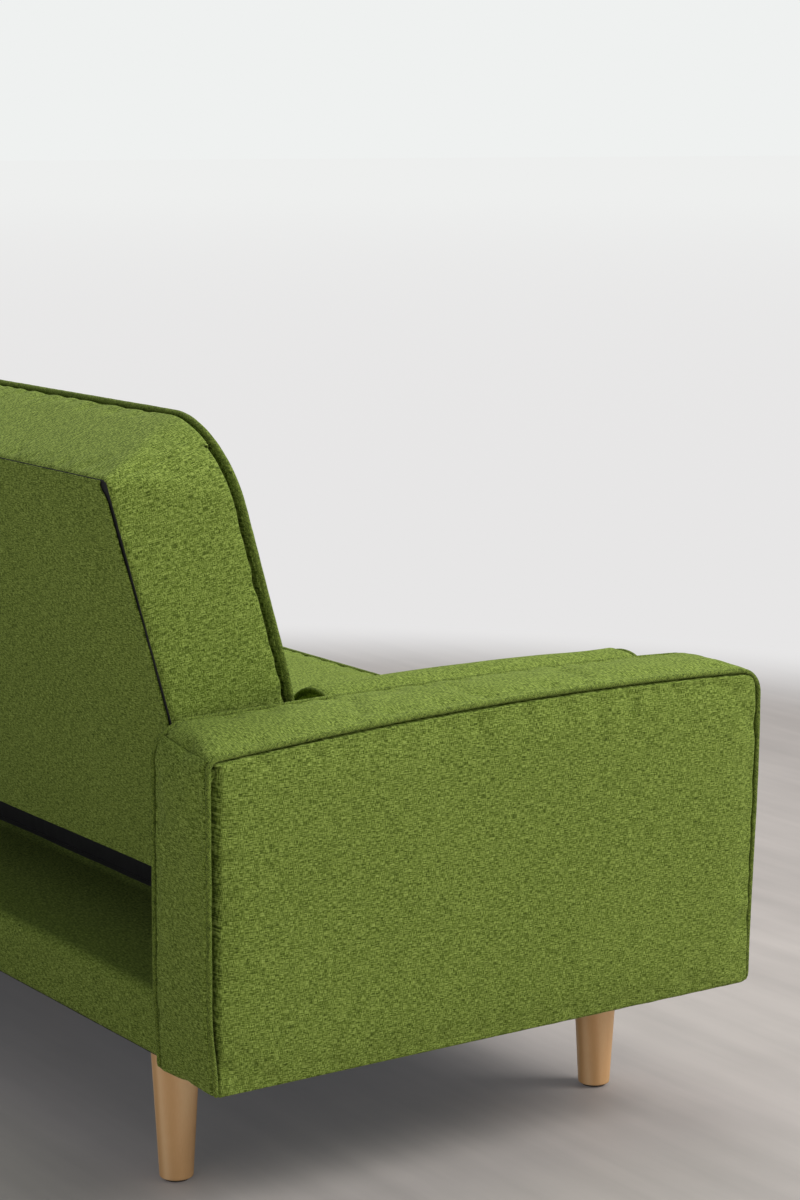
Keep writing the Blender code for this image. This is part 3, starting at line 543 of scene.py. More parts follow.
class Swelling:
    """A coarse cloth over a slab, held at its seams and blown out, which gives the fine mesh its fullness."""
    queue = []

    def __init__(self, slab, name):
        front, rear, border, self.knots = slab.grids(SIM_STEP, False)
        self.rest = [placed(slab, front[0]), placed(slab, rear[0]), placed(slab, border)]
        cloth = Cloth()
        self.index = [cloth.grid(g, np.zeros(g.shape[:2] + (2,))) for g in self.rest]
        points, faces = np.concatenate(cloth.points), np.concatenate(cloth.faces)
        # seam points are shared: each takes the first point found at its place
        key = np.round(points / 0.0002).astype(np.int64)
        _, first, self.back_to = np.unique(key, axis=0, return_index=True, return_inverse=True)
        self.back_to = self.back_to.reshape(-1)
        welded = points[first]
        faces = self.back_to[faces]
        mesh = bpy.data.meshes.new(name)
        keep = [list(dict.fromkeys(f)) for f in faces.tolist()]
        mesh.from_pydata(welded.tolist(), [], [f for f in keep if len(f) > 2])
        bm = bmesh.new()
        bm.from_mesh(mesh)
        bmesh.ops.recalc_face_normals(bm, faces=bm.faces)
        bm.to_mesh(mesh)
        bm.free()
        self.ob = bpy.data.objects.new(name, mesh)
        bpy.context.scene.collection.objects.link(self.ob)
        held = self.ob.vertex_groups.new(name="seams")
        rims = [index[[0, -1]].ravel() for index in self.index[:2]]
        rims += [index[:, [0, -1]].ravel() for index in self.index]
        held.add(sorted(set(self.back_to[np.concatenate(rims)].tolist())), 1.0, "REPLACE")
        step = self.ob.modifiers.new("swell", "CLOTH")
        settings = step.settings
        settings.quality = 6
        settings.mass = 0.3
        settings.tension_stiffness = settings.compression_stiffness = 12.0
        settings.shear_stiffness = 5.0
        settings.bending_stiffness = 0.5
        settings.use_pressure = True
        settings.uniform_pressure_force = 4.0
        settings.effector_weights.gravity = 0.0
        settings.vertex_group_mass = "seams"
        settings.shrink_min = -0.012
        step.point_cache.frame_start, step.point_cache.frame_end = 1, SIM_FRAMES
        Swelling.queue.append(self)

    def collect(self):
        graph = bpy.context.evaluated_depsgraph_get()
        mesh = self.ob.evaluated_get(graph).to_mesh()
        now = np.zeros(len(mesh.vertices) * 3)
        mesh.vertices.foreach_get("co", now)
        now = now.reshape(-1, 3)[self.back_to]
        self.moved = [now[index.ravel()].reshape(rest.shape) - rest
                      for index, rest in zip(self.index, self.rest)]

    @classmethod
    def run(cls):
        scene = bpy.context.scene
        scene.frame_start, scene.frame_end = 1, SIM_FRAMES
        for number in range(1, SIM_FRAMES + 1):
            scene.frame_set(number)
        for swelling in cls.queue:
            swelling.collect()
        for swelling in cls.queue:
            mesh = swelling.ob.data
            bpy.data.objects.remove(swelling.ob)
            bpy.data.meshes.remove(mesh)
        scene.frame_set(1)


def capped(moved, limit):
    """Displacement held under a limit, without a step."""
    size = np.linalg.norm(moved, axis=-1, keepdims=True)
    limit = np.asarray(limit, float)
    limit = limit[..., None] if limit.ndim == 2 else limit
    return moved * limit * np.tanh(size / np.maximum(limit, 1e-6)) / np.maximum(size, 1e-9)


def seam_pucker(off, lengths, seeds, size, reach):
    """Small tucks that the stitching draws into the cloth beside a face's four seams."""
    total = 0.0
    for distance, run, seed in zip(off, lengths, seeds):
        total = total + unevenness(run, distance * 0.35, 0.028, seed) * np.exp(-distance / reach)
    return -size * total


def swollen(slab, grid, moved, knots, targets, limit, heart):
    """A slab's grid in place, moved as the simulated cloth was but within a limit, and its directions out."""
    moved = capped(resampled(moved, knots, targets), limit(grid) if callable(limit) else limit)
    points = placed(slab, grid) + moved
    return points, normals_of(points, heart)


def round_outline(tall, wide):
    """Places round an outline, one unit to a side, from shares of its upright and its level sides."""
    return np.concatenate([tall, 1 + wide, 3 - tall[::-1], 4 - wide[::-1]])


def cover_slab(slab, swelling, limits, name, body, replaced, seed, creases, crease_depth=0.0014,
               pucker=0.0006, extra=None):
    """The finished cover of a slab: its fine mesh, swollen as the simulated cloth was, with its tucks.
    creases are the outline's corners at which the border has a mitre seam."""
    front, rear, border, (tall, wide, deep) = slab.grids(SOFT_STEP, True)
    knots_tall, knots_wide, knots_deep = swelling.knots
    heart = placed(slab, border).mean((0, 1))
    cloth, edges = Cloth(), []
    for face, (grid, off) in enumerate((front, rear)):
        a, b = grid[..., 0], grid[..., 1]
        points, normal = swollen(slab, grid, swelling.moved[face], (knots_wide, knots_tall), (wide, tall),
                                 limits[face], heart)
        ripple = seam_pucker(off, (b, a, b, a), [seed + 10 * face + k for k in range(4)], pucker, 0.022)
        ripple = ripple + unevenness(a, b, 0.16, seed + 5 + face) * pucker
        ripple = ripple * smooth((np.min(off, axis=0) - 0.002) / 0.010)
        points = points + normal * ripple[..., None]
        if extra:
            points = extra(face, off, points, normal)
        cloth.grid(points, grid[..., :2])
        edges.append(edge_points(points))

    knots, targets = round_outline(knots_tall, knots_wide), round_outline(tall, wide)
    apart = np.arange(len(knots)) * 1e-7        # keeps the doubled knots at the corners in order
    points, normal = swollen(slab, border, swelling.moved[2], (knots + apart, knots_deep),
                             (np.clip(targets, 0, knots[-1]), deep), limits[2], heart)
    run, depth = runs(points[:, len(deep) // 2]), border[..., 2]
    from_seam = np.minimum(np.abs(depth - depth[:, :1]), np.abs(depth - depth[:, -1:]))
    ripple = (unevenness(run[:, None], depth, 0.030, seed + 31) * np.exp(-from_seam / 0.020)
              + unevenness(run[:, None], depth, 0.15, seed + 33)) * -pucker
    corner = np.cumsum([0, len(tall), len(wide), len(tall)])
    for k in creases:
        wobble = unevenness(depth, depth * 0, 0.05, seed + 41 + k) * 0.0006
        away = np.abs(run[:, None] - run[corner[k]] + wobble)
        ripple = ripple - crease_depth * np.exp(-(away / 0.0013) ** 2)
        ripple = ripple - 0.0007 * np.exp(-away / 0.009) * (1 + unevenness(depth, away, 0.03, seed + 51 + k))
    points = points + normal * (ripple * smooth((from_seam - 0.002) / 0.008))[..., None]
    points[:, 0], points[:, -1] = edges
    run = np.append(run, run[-1] + 1e-5)
    cloth.grid(np.concatenate([points, points[:1]]), pairs(depth[:1], run[:, None]))
    piece = finished(name, cloth.mesh(name), body, "green_fabric", replaced)
    return piece


# ---------------------------------------------------------------- cords

def cord_mesh(line, radius, seed, closed=False, sides=12, step=0.004):
    """A covered cord along a line: its thickness varies slightly, as the cloth lies over it."""
    line = np.array(line, float)
    if closed:
        line = np.concatenate([line, line[:1]])
    length = length_of(line)
    count = max(8, round(length / step))
    line = along(line, np.linspace(0.0, 1.0, count + 1))
    if closed:
        ahead = np.roll(line[:-1], -1, axis=0) - np.roll(line[:-1], 1, axis=0)
        ahead = np.concatenate([ahead, ahead[:1]])
    else:
        ahead = np.gradient(line, axis=0)
    ahead /= np.linalg.norm(ahead, axis=1)[:, None]
    side = np.cross(ahead[0], (0.31, 0.52, 0.79))
    frames = []
    for direction in ahead:
        side = side - direction * (side @ direction)
        side /= np.linalg.norm(side)
        frames.append((side, np.cross(direction, side)))
    if closed:     # the frame comes back turned, and that turn is shared out along the cord
        a, b = frames[-1]
        start = frames[0][0]
        turn = math.atan2(start @ b, start @ a)
        frames = [(a * math.cos(turn * i / count) + b * math.sin(turn * i / count),
                   b * math.cos(turn * i / count) - a * math.sin(turn * i / count))
                  for i, (a, b) in enumerate(frames)]
    run = np.linspace(0.0, length, count + 1)
    thick = radius * (1.0 + 0.035 * unevenness(run, run * 0, 0.018, seed)
                      + 0.02 * unevenness(run, run * 0, 0.07, seed + 1))
    if closed:
        thick[-1] = thick[0]
    angles = np.linspace(0.0, 2.0 * math.pi, sides + 1)
    frames = np.array(frames)
    points = (line[:, None] + thick[:, None, None] * (np.cos(angles)[None, :, None] * frames[:, None, 0]
                                                      + np.sin(angles)[None, :, None] * frames[:, None, 1]))
    if closed:
        points[-1] = points[0]
    cloth = Cloth()
    cloth.grid(points, pairs(angles[None] * radius, run[:, None]))
    if not closed:
        # rounded ends
        shares = np.array([1.0, 0.8, 0.45, 0.0])[:, None, None]
        swell = np.array([0.0, 0.5, 0.85, 1.0])[:, None, None]
        for ring, shift in ((0, -1.0), (-1, 1.0)):
            dome = (line[ring] + (points[ring] - line[ring])[None] * shares
                    + ahead[ring] * shift * radius * 0.8 * swell)
            cloth.grid(dome, np.zeros(dome.shape[:2] + (2,)) + np.arange(len(dome))[:, None, None] * 0.001)
    return cloth.mesh("cord", sew=0.00001)


# ---------------------------------------------------------------- arms

def arm_outline(t):
    """Sides of an arm seen from the side, as (y, z), from its outer face at t = 0 to its inner at 1:
    up the rear, over the top, down the front and back along the foot."""
    rear, front, foot, top = ARM_HIGH.y, ARM_LOW.y, ARM_LOW.z, ARM_HIGH.z
    corners = [(-rear, foot), (-rear, top), (-front, top), (-front, foot)]
    rear_radius = mix(OUTER_REAR_RADIUS, INNER_REAR_RADIUS, t)
    sides = rounded_quad(corners, (REAR_FOOT_RADIUS, rear_radius, FRONT_RADIUS, FRONT_FOOT_RADIUS))
    made = []
    crest = rear - ARM_CREST
    for side in sides:
        side = along(side, np.linspace(0, 1, 200))
        y = -side[:, 0]
        behind = np.clip((y - crest) / (rear - crest), 0, 1) ** 2 * mix(OUTER_DROP, INNER_DROP, t)
        ahead = np.clip((crest - y) / (crest - front), 0, 1) ** 2 * FRONT_DROP
        share = (side[:, 1] - foot) / (top - foot)
        rise = FOOT_RISE * (rear - y) / (rear - front) * (1 - share)
        lean = FRONT_LEAN * smooth((side[:, 0] + rear) / (rear - front)) * smooth(share * 1.25)
        swell = smooth((side[:, 1] - 0.16) / 0.09)
        lean = lean - mix(*REAR_SWELL, t) * swell * (1 - smooth((side[:, 0] + rear) / 0.10))
        made.append(np.stack([side[:, 0] + lean, side[:, 1] - (behind + ahead) * share + rise], axis=1))
    return made


def arm_slab(sign):
    """Face 0 is the outer one and face 1 the inner one."""
    outer, inner = sign * ARM_HIGH.x, sign * ARM_LOW.x

    # how far the cover stands off the rear cords, by height b, and off the inner top cord, by place a
    def rear_groove(_, b):
        return mix(0.0042, 0.0098, smooth((b - 0.15) / 0.07)) * smooth((0.512 - b) / 0.009)

    def rear_hook(_, b):
        return 0.0046 * np.exp(-((b - 0.500) / 0.011) ** 2)

    def inner_rear(_, b):
        return 0.0062 * smooth((0.520 - b) / 0.030)

    def fading(a, _):
        return 0.0024 * (1 - smooth((a + 0.30) / 0.50))

    return Slab(arm_outline, (outer, inner), lambda a, b, c: (c, -a, b),
                sinks=((SEAM_SINK, SEAM_SINK, SEAM_SINK, PLAIN_SINK),) * 2,
                rolls=((0.0042, 0.0050, 0.0055, 0.004), (0.0034, 0.0050, 0.0055, 0.004)),
                notched=((1, 1, 1, 0),) * 2,
                face_gaps=((rear_groove, 0.0017, 0.0032, 0), (0.0020, 0.0010, 0.0010, 0)),
                border_gaps=((rear_hook, 0.0, 0.0006, 0), (inner_rear, fading, 0.0010, 0)),
                reach=CORD_REACH)


def arm_cord_line(sign, face):
    """Centre line of the cord round an arm's outer (0) or inner (1) face, from rear foot to front foot."""
    t = float(face)
    x = sign * mix(ARM_HIGH.x - CORD_INSET, ARM_LOW.x + CORD_INSET, t)
    sides = arm_outline(t)[:3]
    loop = np.concatenate([sides[0], sides[1][1:], sides[2][1:]])
    ahead = np.gradient(loop, axis=0)
    ahead /= np.linalg.norm(ahead, axis=1)[:, None]
    loop = loop - np.stack([-ahead[:, 1], ahead[:, 0]], axis=1) * CORD_INSET
    return np.stack([np.full(len(loop), x), -loop[:, 0], loop[:, 1]], axis=1)


# ---------------------------------------------------------------- back, in its hinge's frame

def from_slab(a, b, c):
    """Across, up the slab and rearward, to the row frame."""
    return (a, HINGE.y + c * math.cos(RAKE) + b * math.sin(RAKE),
            HINGE.z - c * math.sin(RAKE) + b * math.cos(RAKE))


def behind_edge(x, y, z):
    """Whether a place lies inside the turned rear edge of the back's cover."""
    y, z = y - HINGE.y, z - HINGE.z
    rearward, up = y * math.cos(RAKE) - z * math.sin(RAKE), y * math.sin(RAKE) + z * math.cos(RAKE)
    return ((rearward > BACK_REAR - 0.0045) & (np.abs(x) < BACK_HALF - 0.0026)
            & (up > BACK_FOOT[1] + 0.0026) & (up < BACK_TOP[1] - 0.0020))


def back_place(a, b, c):
    """The slab, a little wider and fuller to the front above the arms."""
    a = a * (1 + BACK_WIDENING / BACK_HALF * smooth((b - 0.155) / 0.055))
    share = np.clip((BACK_REAR - c) / (BACK_REAR - BACK_FRONT), 0.0, 1.0)
    return from_slab(a, b, c - BACK_FULLNESS * share * smooth((b - 0.03) / 0.15))


def back_outline(t):
    half, foot, top = BACK_HALF, mix(*BACK_FOOT, t), mix(*BACK_TOP, t)
    radius = mix(*BACK_RADIUS, t)
    corners = [(-half, foot), (-half, top), (half, top), (half, foot)]
    return [along(side, np.linspace(0, 1, 400))
            for side in rounded_quad(corners, (SLAB_EDGE, radius, radius, SLAB_EDGE))]


def back_slab():
    return Slab(back_outline, (BACK_FRONT, BACK_REAR), back_place,
                sinks=((BACK_SINK,) * 4, (BACK_REAR_SINK,) * 4), rolls=((0.0075,) * 4, (0.0036,) * 4),
                notched=((1,) * 4, (0,) * 4), face_gaps=((0.001,) * 4, (0,) * 4),
                border_gaps=((0.0056, 0.0028, 0.0056, 0.0), (0,) * 4), reach=BACK_REACH)


def back_cord_line():
    loop = np.concatenate([side[:-1] for side in back_outline(0.0)])
    inner = loop - outward(loop) * 0.0030
    return np.stack(back_place(inner[:, 0], inner[:, 1], np.full(len(inner), BACK_FRONT + 0.0034)), axis=1)


# ---------------------------------------------------------------- seat

def seat_crown(x):
    """Rise of the seat's foam; the swelling of its cover makes up the rest of the crown."""
    return (SEAT_HIGH.z - SEAT_SHOULDER - SEAT_SWELL) * smooth(
        (SEAT_HIGH.x - SEAT_SHOULDER_WIDTH - np.abs(x)) / (SEAT_CROWN_START - SEAT_SHOULDER_WIDTH))


def seat_outline(_):
    """The seat's outline, the same at every depth."""
    (left, front), (right, rear) = SEAT_LOW.xy, SEAT_HIGH.xy
    corners = [(left, front), (left, rear), (right, rear), (right, front)]
    return [along(side, np.linspace(0, 1, 300)) for side in rounded_quad(corners, (SLAB_EDGE,) * 4)]


def seat_place(a, b, c):
    share = (c - SEAT_LOW.z) / (SEAT_SHOULDER - SEAT_LOW.z)
    return a, b, c + seat_crown(a) * share


def seat_slab():
    return Slab(seat_outline, (SEAT_SHOULDER, SEAT_LOW.z), seat_place,
                sinks=((SEAM_SINK,) * 4, (PLAIN_SINK,) * 4), rolls=((0.0065,) * 4, (0.004,) * 4),
                notched=((1,) * 4, (0,) * 4), face_gaps=((0.0008,) * 4, (0,) * 4),
                border_gaps=((0.0008,) * 4, (0,) * 4), reach=CORD_REACH)


def seat_cord_line():
    loop = np.concatenate([side[:-1] for side in seat_outline(0.0)])
    loop = loop - outward(loop) * CORD_INSET
    height = np.full(len(loop), SEAT_SHOULDER - CORD_INSET)
    return np.stack(seat_place(loop[:, 0], loop[:, 1], height), axis=1)


# ---------------------------------------------------------------- thin cloths and linings

def thin_cloth(name, points, threads, thickness, body, slot, replaced):
    """A single layer of cloth, from its outer surface inwards, closed round its edges."""
    inner = points - normals_of(points, CLOTH_HEART) * thickness
    cloth = Cloth()
    cloth.grid(points, threads)
    cloth.grid(inner, threads)
    for a, b, t in zip(*((g[0], g[-1], g[:, 0], g[:, -1]) for g in (points, inner, threads))):
        cloth.grid(np.stack([a, b]), np.stack([t, t + thickness]))
    piece = finished(name, cloth.mesh(name), body, slot, replaced)
    return piece


def make_rear_panel():
    """The back's rear cloth: sewn in along its top and open down each side, where it has a turned hem."""
    half = BACK_HALF - 0.0020 - SLIT
    low, high = -0.0068, BACK_TOP[1] - 0.0024
    u = np.concatenate([[0, .0006, .0014, .0024, .0036, .0050, .0070, .0095, .0125],
                        np.linspace(.017, half - .001, 150)])
    u = np.concatenate([-half + u, (half - u)[::-1]])
    v = spread(high - low, 0.006, True) * (high - low) + low
    a, b = np.meshgrid(u, v, indexing="ij")
    from_top, from_side, from_foot = high - b, half - np.abs(a), b - low
    # beside its top corners the hem draws inwards and then runs straight
    pull = 0.0042 * np.exp(-(from_top / 0.024) ** 2) * np.clip(1 - from_side / 0.10, 0, 1) ** 2
    hook = 0.0090 * np.exp(-((from_top - 0.008) / 0.010) ** 2) * np.clip(1 - from_side / 0.06, 0, 1) ** 2
    x = a - np.sign(a) * (hook - pull * 0.2)
    hem = 0.0011 * (1 - smooth((from_side - 0.011) / 0.002))
    c = BACK_REAR + 0.0003 + hem * 0.5
    c = c + 0.0022 * smooth(from_side / 0.10) * smooth(from_top / 0.10) * smooth(from_foot / 0.08)
    c = c - 0.0022 * rolled(from_side / 0.0022) - 0.0020 * rolled(from_foot / 0.0020)
    c = c - 0.0024 * rolled(from_top / 0.0020)
    c = c + 0.0006 * unevenness(a, b, 0.17, 71) * smooth(from_top / 0.03)
    tucked = np.exp(-from_top / 0.014) * smooth(from_top / 0.008)
    c = c - 0.0004 * unevenness(a, from_top * 0.3, 0.026, 72) * tucked
    c = c + 0.0005 * unevenness(from_side * 0.3, b, 0.045, 73) * np.exp(-from_side / 0.02)
    points = np.stack(back_place(x, b, c), axis=-1)
    thin_cloth("back_rear_cloth", points, np.dstack([a, b]), 0.0022, "back", "green_fabric",
               ["back_rear_panel"])


def rail_line():
    """Across a wrapped rail, as (y, z): up its face, over the rounded edge and forward over the shelf."""
    rear, top, r = WRAP_HIGH.y, WRAP_HIGH.z, 0.014
    angles = np.linspace(0.0, math.pi / 2, 16)
    bend = np.stack([rear - r + r * np.cos(angles), top - r + r * np.sin(angles)], axis=1)
    return np.concatenate([[(rear - 0.0012, WRAP_LOW.z), (rear - 0.0002, WRAP_LOW.z + 0.004)], bend,
                           [(WRAP_LOW.y, top - 0.0004)]])


def make_rail_wraps():
    half = WRAP_HIGH.x - 0.0035
    line = rail_line()
    length = length_of(line)
    v = along(line, np.linspace(0, 1, 72))
    u = spread(2 * half, 0.007, True) * 2 * half - half
    points = np.zeros((len(u), len(v), 3))
    points[..., 0] = u[:, None]
    points[..., 1:] = v[None]
    run = np.linspace(0, length, len(v))
    ends = half - np.abs(u)[:, None]
    turned_in = 0.0060 * rolled(ends / 0.0055)
    free = smooth(run[None] / 0.02) * smooth((length - run)[None] / 0.02)
    lift = (unevenness(u[:, None], run[None], 0.19, 81) * 0.0009 * free
            + unevenness(u[:, None] * 0.2, run[None], 0.05, 82) * 0.0009 * np.exp(-ends / 0.05) * free)
    points = points + normals_of(points, CLOTH_HEART) * (lift - 0.0009 - turned_in)[..., None]
    rear = thin_cloth("base_rear_cloth", points, pairs(u[:, None], run[None]), 0.0016, "base", "green_fabric",
                      ["base_rear_wrap"])
    # a strip of black lining lies over the wrap's forward edge: partly the real lining, partly painted shade
    # where the shelf runs in under the back
    lining_and_painted_shade(rear, lambda x, y, z: (y < WRAP_LOW.y + 0.014 + 0.004 * x) & (z > WRAP_HIGH.z - 0.01))
    low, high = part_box("base_front_wrap")
    a, b = np.meshgrid(u, np.linspace(low.z, high.z, 14), indexing="ij")
    y = low.y + 0.0006 - 0.0005 * unevenness(a, b, 0.16, 83) * smooth((b - low.z) / 0.01)
    thin_cloth("base_front_cloth", np.dstack([a, y, b]), np.dstack([a, b]), 0.0016, "base", "green_fabric",
               ["base_front_wrap"])


def make_linings():
    """Black cloths: under the base, drawn tight between its rails, and behind the seat."""
    low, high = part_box("dust_cover")
    a, b = np.meshgrid(np.linspace(low.x, high.x, 150), np.linspace(low.y, high.y, 60), indexing="ij")
    inside = smooth((high.x - np.abs(a)) / 0.12) * smooth(np.minimum(b - low.y, high.y - b) / 0.12)
    sag = 0.0030 * inside * (1 - 0.7 * np.exp(-(a / 0.05) ** 2))
    sag = sag + 0.0005 * unevenness(a, b, 0.09, 91) * inside
    tucks = 0.0005 * unevenness(a, b, 0.025, 92) * (1 - inside)
    points = np.dstack([a, b, low.z + 0.0008 - sag - np.abs(tucks) * 0.4])
    thin_cloth("base_dust_cloth", points, np.dstack([a, b]), 0.0006, "base", "black_nonwoven",
               ["dust_cover"])
    low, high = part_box("seat_rear_lining")
    a, b = np.meshgrid(np.linspace(low.x, high.x, 260), np.linspace(low.z, high.z, 34), indexing="ij")
    y = high.y + 0.0022 + 0.0009 * unevenness(a * 1.3, b, 0.035, 93) * smooth((b - low.z) / 0.01)
    y = y - 0.0016 * np.exp(-((high.z - b) / 0.005) ** 2)
    thin_cloth("seat_rear_cloth", np.dstack([a, y, b]), np.dstack([a, b]), 0.0006, "base", "black_nonwoven",
               ["seat_rear_lining"])


# ---------------------------------------------------------------- bolsters

def make_bolster(side, sign, seed):
    """A round cushion, its skin sewn to two round ends over cords, and flat where it rests on the seat."""
    middle = Vector((sign * BOLSTER_MIDDLE.x, 0.0, BOLSTER_MIDDLE.z))
    front, rear = BOLSTER_LOW.y + 0.004, BOLSTER_HIGH.y - 0.004
    around = np.linspace(0, 2 * math.pi, 129)

    def turned(radius, y):
        """Points round the bolster's axis, from the radius and the place along it of each ring."""
        r = np.broadcast_to(radius, (len(around), len(radius)))
        x, z = middle.x + r * np.cos(around[:, None]), middle.z + r * np.sin(around[:, None])
        return np.stack([x, np.broadcast_to(y, r.shape), z], axis=-1)

    length = rear - front
    shares = spread(length, 0.006, True)
    distance = np.minimum(shares, 1 - shares) * length
    crown = 1 - (1 - np.clip(distance / 0.012, 0, 1)) ** 2
    radius = (BOLSTER_SEAM - 0.0040 * rolled(distance / 0.005)
              + (BOLSTER_RADIUS - 0.0012 - BOLSTER_SEAM) * crown)
    points = turned(radius, front + length * shares)
    normal = points - np.array([middle.x, 0, middle.z])
    normal[..., 1] = 0
    normal /= np.linalg.norm(normal, axis=2, keepdims=True)
    ring = np.stack([np.cos(around), np.sin(around)], axis=1)[:, None] * 0.070
    u, v = ring[..., 0], ring[..., 1]
    lumps = unevenness(u + distance * 0.25, v, 0.020, seed) * 0.0012 * np.exp(-distance / 0.030)
    lumps = lumps + unevenness(u * 1.2 + distance * 0.4, v - distance * 0.3, 0.11, seed + 1) * 0.0011
    swell = 0.0022 * smooth(distance / 0.12)
    points = points + normal * ((swell + lumps) * smooth(distance / 0.004))[..., None]
    grids = [(points, pairs(around[:, None] * BOLSTER_RADIUS, shares[None] * length))]
    for end, (y, inward) in enumerate(((front, 1.0), (rear, -1.0))):
        radii = np.concatenate([[1.0, 0.985, 0.96, 0.93], np.linspace(0.88, 0.04, 16), [0.0]])
        depth = 0.0040 * (1 - smooth((1 - radii) / 0.05)) - 0.0035 * smooth((1 - radii) / 0.5)
        tucks = unevenness(u, v, 0.022, seed + 3 + end) * 0.0012 * np.exp(-(1 - radii) / 0.25)[None]
        y = y + inward * (depth * 0.6 + 0.0010)[None] + tucks * smooth((1 - radii) / 0.05)[None]
        disc = turned((BOLSTER_SEAM - 0.0040) * radii, y)
        disc[:, 0] = points[:, -end]
        grids.append((disc, disc[..., [0, 2]]))
    floor = SEAT_SHOULDER + 0.0004
    wall = ARM_LOW.x - 0.0006
    cloth = Cloth()
    for grid, threads in grids:
        grid[..., 2] = floor + np.logaddexp(0, (grid[..., 2] - floor) / 0.0012) * 0.0012
        grid[..., 0] = sign * (wall - np.logaddexp(0, (wall - sign * grid[..., 0]) / 0.0010) * 0.0010)
        cloth.grid(grid, threads)
    piece = finished(f"bolster_{side}_cushion", cloth.mesh("bolster", sew=0.00002), f"bolster_{side}",
                     "green_fabric", [f"bolster_{side}"])
    angles = np.linspace(0, 2 * math.pi, 96, endpoint=False)
    r = BOLSTER_SEAM - 0.0012
    for label, y in (("front", front), ("rear", rear)):
        line = np.stack([middle.x + np.cos(angles) * r, np.full(len(angles), y),
                         middle.z + np.sin(angles) * r], axis=1)
        finished(f"bolster_{side}_{label}_cord", cord_mesh(line, 0.0030, seed + 7, closed=True),
                 f"bolster_{side}", "green_piping")


# ---------------------------------------------------------------- legs and their pads

def lathe(profile, centre, steps=64):
    """A turned solid from its profile, (radius, height) from the top down."""
    angles = np.linspace(0, 2 * math.pi, steps + 1)
    r, z = np.array(profile, float).T
    points = np.stack([centre[0] + r[:, None] * np.cos(angles), centre[1] + r[:, None] * np.sin(angles),
                       np.broadcast_to(z[:, None], (len(r), steps + 1))], axis=-1)
    cloth = Cloth()
    cloth.grid(points, pairs(angles * 0.02, points[..., 2]))
    return cloth.mesh("turned", sew=0.00001)


def rounded_profile(corners, radius):
    """A turned profile with its outer corners eased."""
    line = [corners[0]]
    for before, p, after in zip(corners, corners[1:], corners[2:]):
        p, u, v = np.array(p), np.array(before) - p, np.array(after) - p
        r = min(radius, np.linalg.norm(u) * 0.45, np.linalg.norm(v) * 0.45)
        a, b = p + u / np.linalg.norm(u) * r, p + v / np.linalg.norm(v) * r
        line += [(1 - t) ** 2 * a + 2 * t * (1 - t) * p + t * t * b for t in np.linspace(0, 1, 6)]
    return line + [corners[-1]]


def make_legs():
    for place in ("rear_right", "rear_left", "front_right", "front_left", "centre"):
        low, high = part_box(f"leg_{place}")
        x, y = (low.x + high.x) / 2, (low.y + high.y) / 2
        top, foot = (high.x - low.x) / 2, (high.x - low.x) / 2 * LEG_TAPER
        side = [(mix(foot, top, t), mix(low.z, high.z, t)) for t in np.linspace(0.96, 0.04, 14)]
        corners = [(0.0, high.z), (top, high.z)] + side + [(foot, low.z), (0.0, low.z)]
        profile = rounded_profile(corners, 0.0022)
        finished(f"leg_{place}_turned", lathe(profile, (x, y)), "base", "beech", [f"leg_{place}"])
        low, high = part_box(f"glide_{place}")
        r = (high.x - low.x) / 2
        profile = rounded_profile([(0.0, high.z), (r, high.z), (r, low.z), (0.0, low.z)], 0.0008)
        finished(f"glide_{place}_pad", lathe(profile, (x, y), 32), "base", "felt", [f"glide_{place}"])


# ---------------------------------------------------------------- repeated fixings

def staple_tree():
    """A Geometry Nodes tree that puts a staple's crown on every vertex, turned by the vertex's own angles."""
    tree = bpy.data.node_groups.new("staples", "GeometryNodeTree")
    tree.interface.new_socket("Geometry", in_out="INPUT", socket_type="NodeSocketGeometry")
    sockets = {key: tree.interface.new_socket(key, in_out="INPUT", socket_type="NodeSocketFloat").identifier
               for key in ("Width", "Wire")}
    tree.interface.new_socket("Geometry", in_out="OUTPUT", socket_type="NodeSocketGeometry")
    start, end = add(tree, "NodeGroupInput").outputs, tree.nodes.new("NodeGroupOutput")
    size = add(tree, "ShaderNodeCombineXYZ", {0: start["Width"], 1: start["Wire"], 2: start["Wire"]})
    crown = add(tree, "GeometryNodeMeshCube", {"Size": size.outputs[0]}).outputs["Mesh"]
    turn = add(tree, "GeometryNodeInputNamedAttribute", {"Name": "turn"}, data_type="FLOAT_VECTOR")
    spin = add(tree, "FunctionNodeEulerToRotation", {"Euler": turn.outputs["Attribute"]}).outputs["Rotation"]
    dots = add(tree, "GeometryNodeMeshToPoints", {"Mesh": start["Geometry"]}).outputs["Points"]
    staples = add(tree, "GeometryNodeInstanceOnPoints", {"Points": dots, "Instance": crown, "Rotation": spin})
    real = add(tree, "GeometryNodeRealizeInstances", {"Geometry": staples.outputs["Instances"]})
    shaded = add(tree, "GeometryNodeSetMaterial", {"Geometry": real.outputs["Geometry"], "Material": ZINC})
    tree.links.new(shaded.outputs["Geometry"], end.inputs["Geometry"])
    return tree, sockets


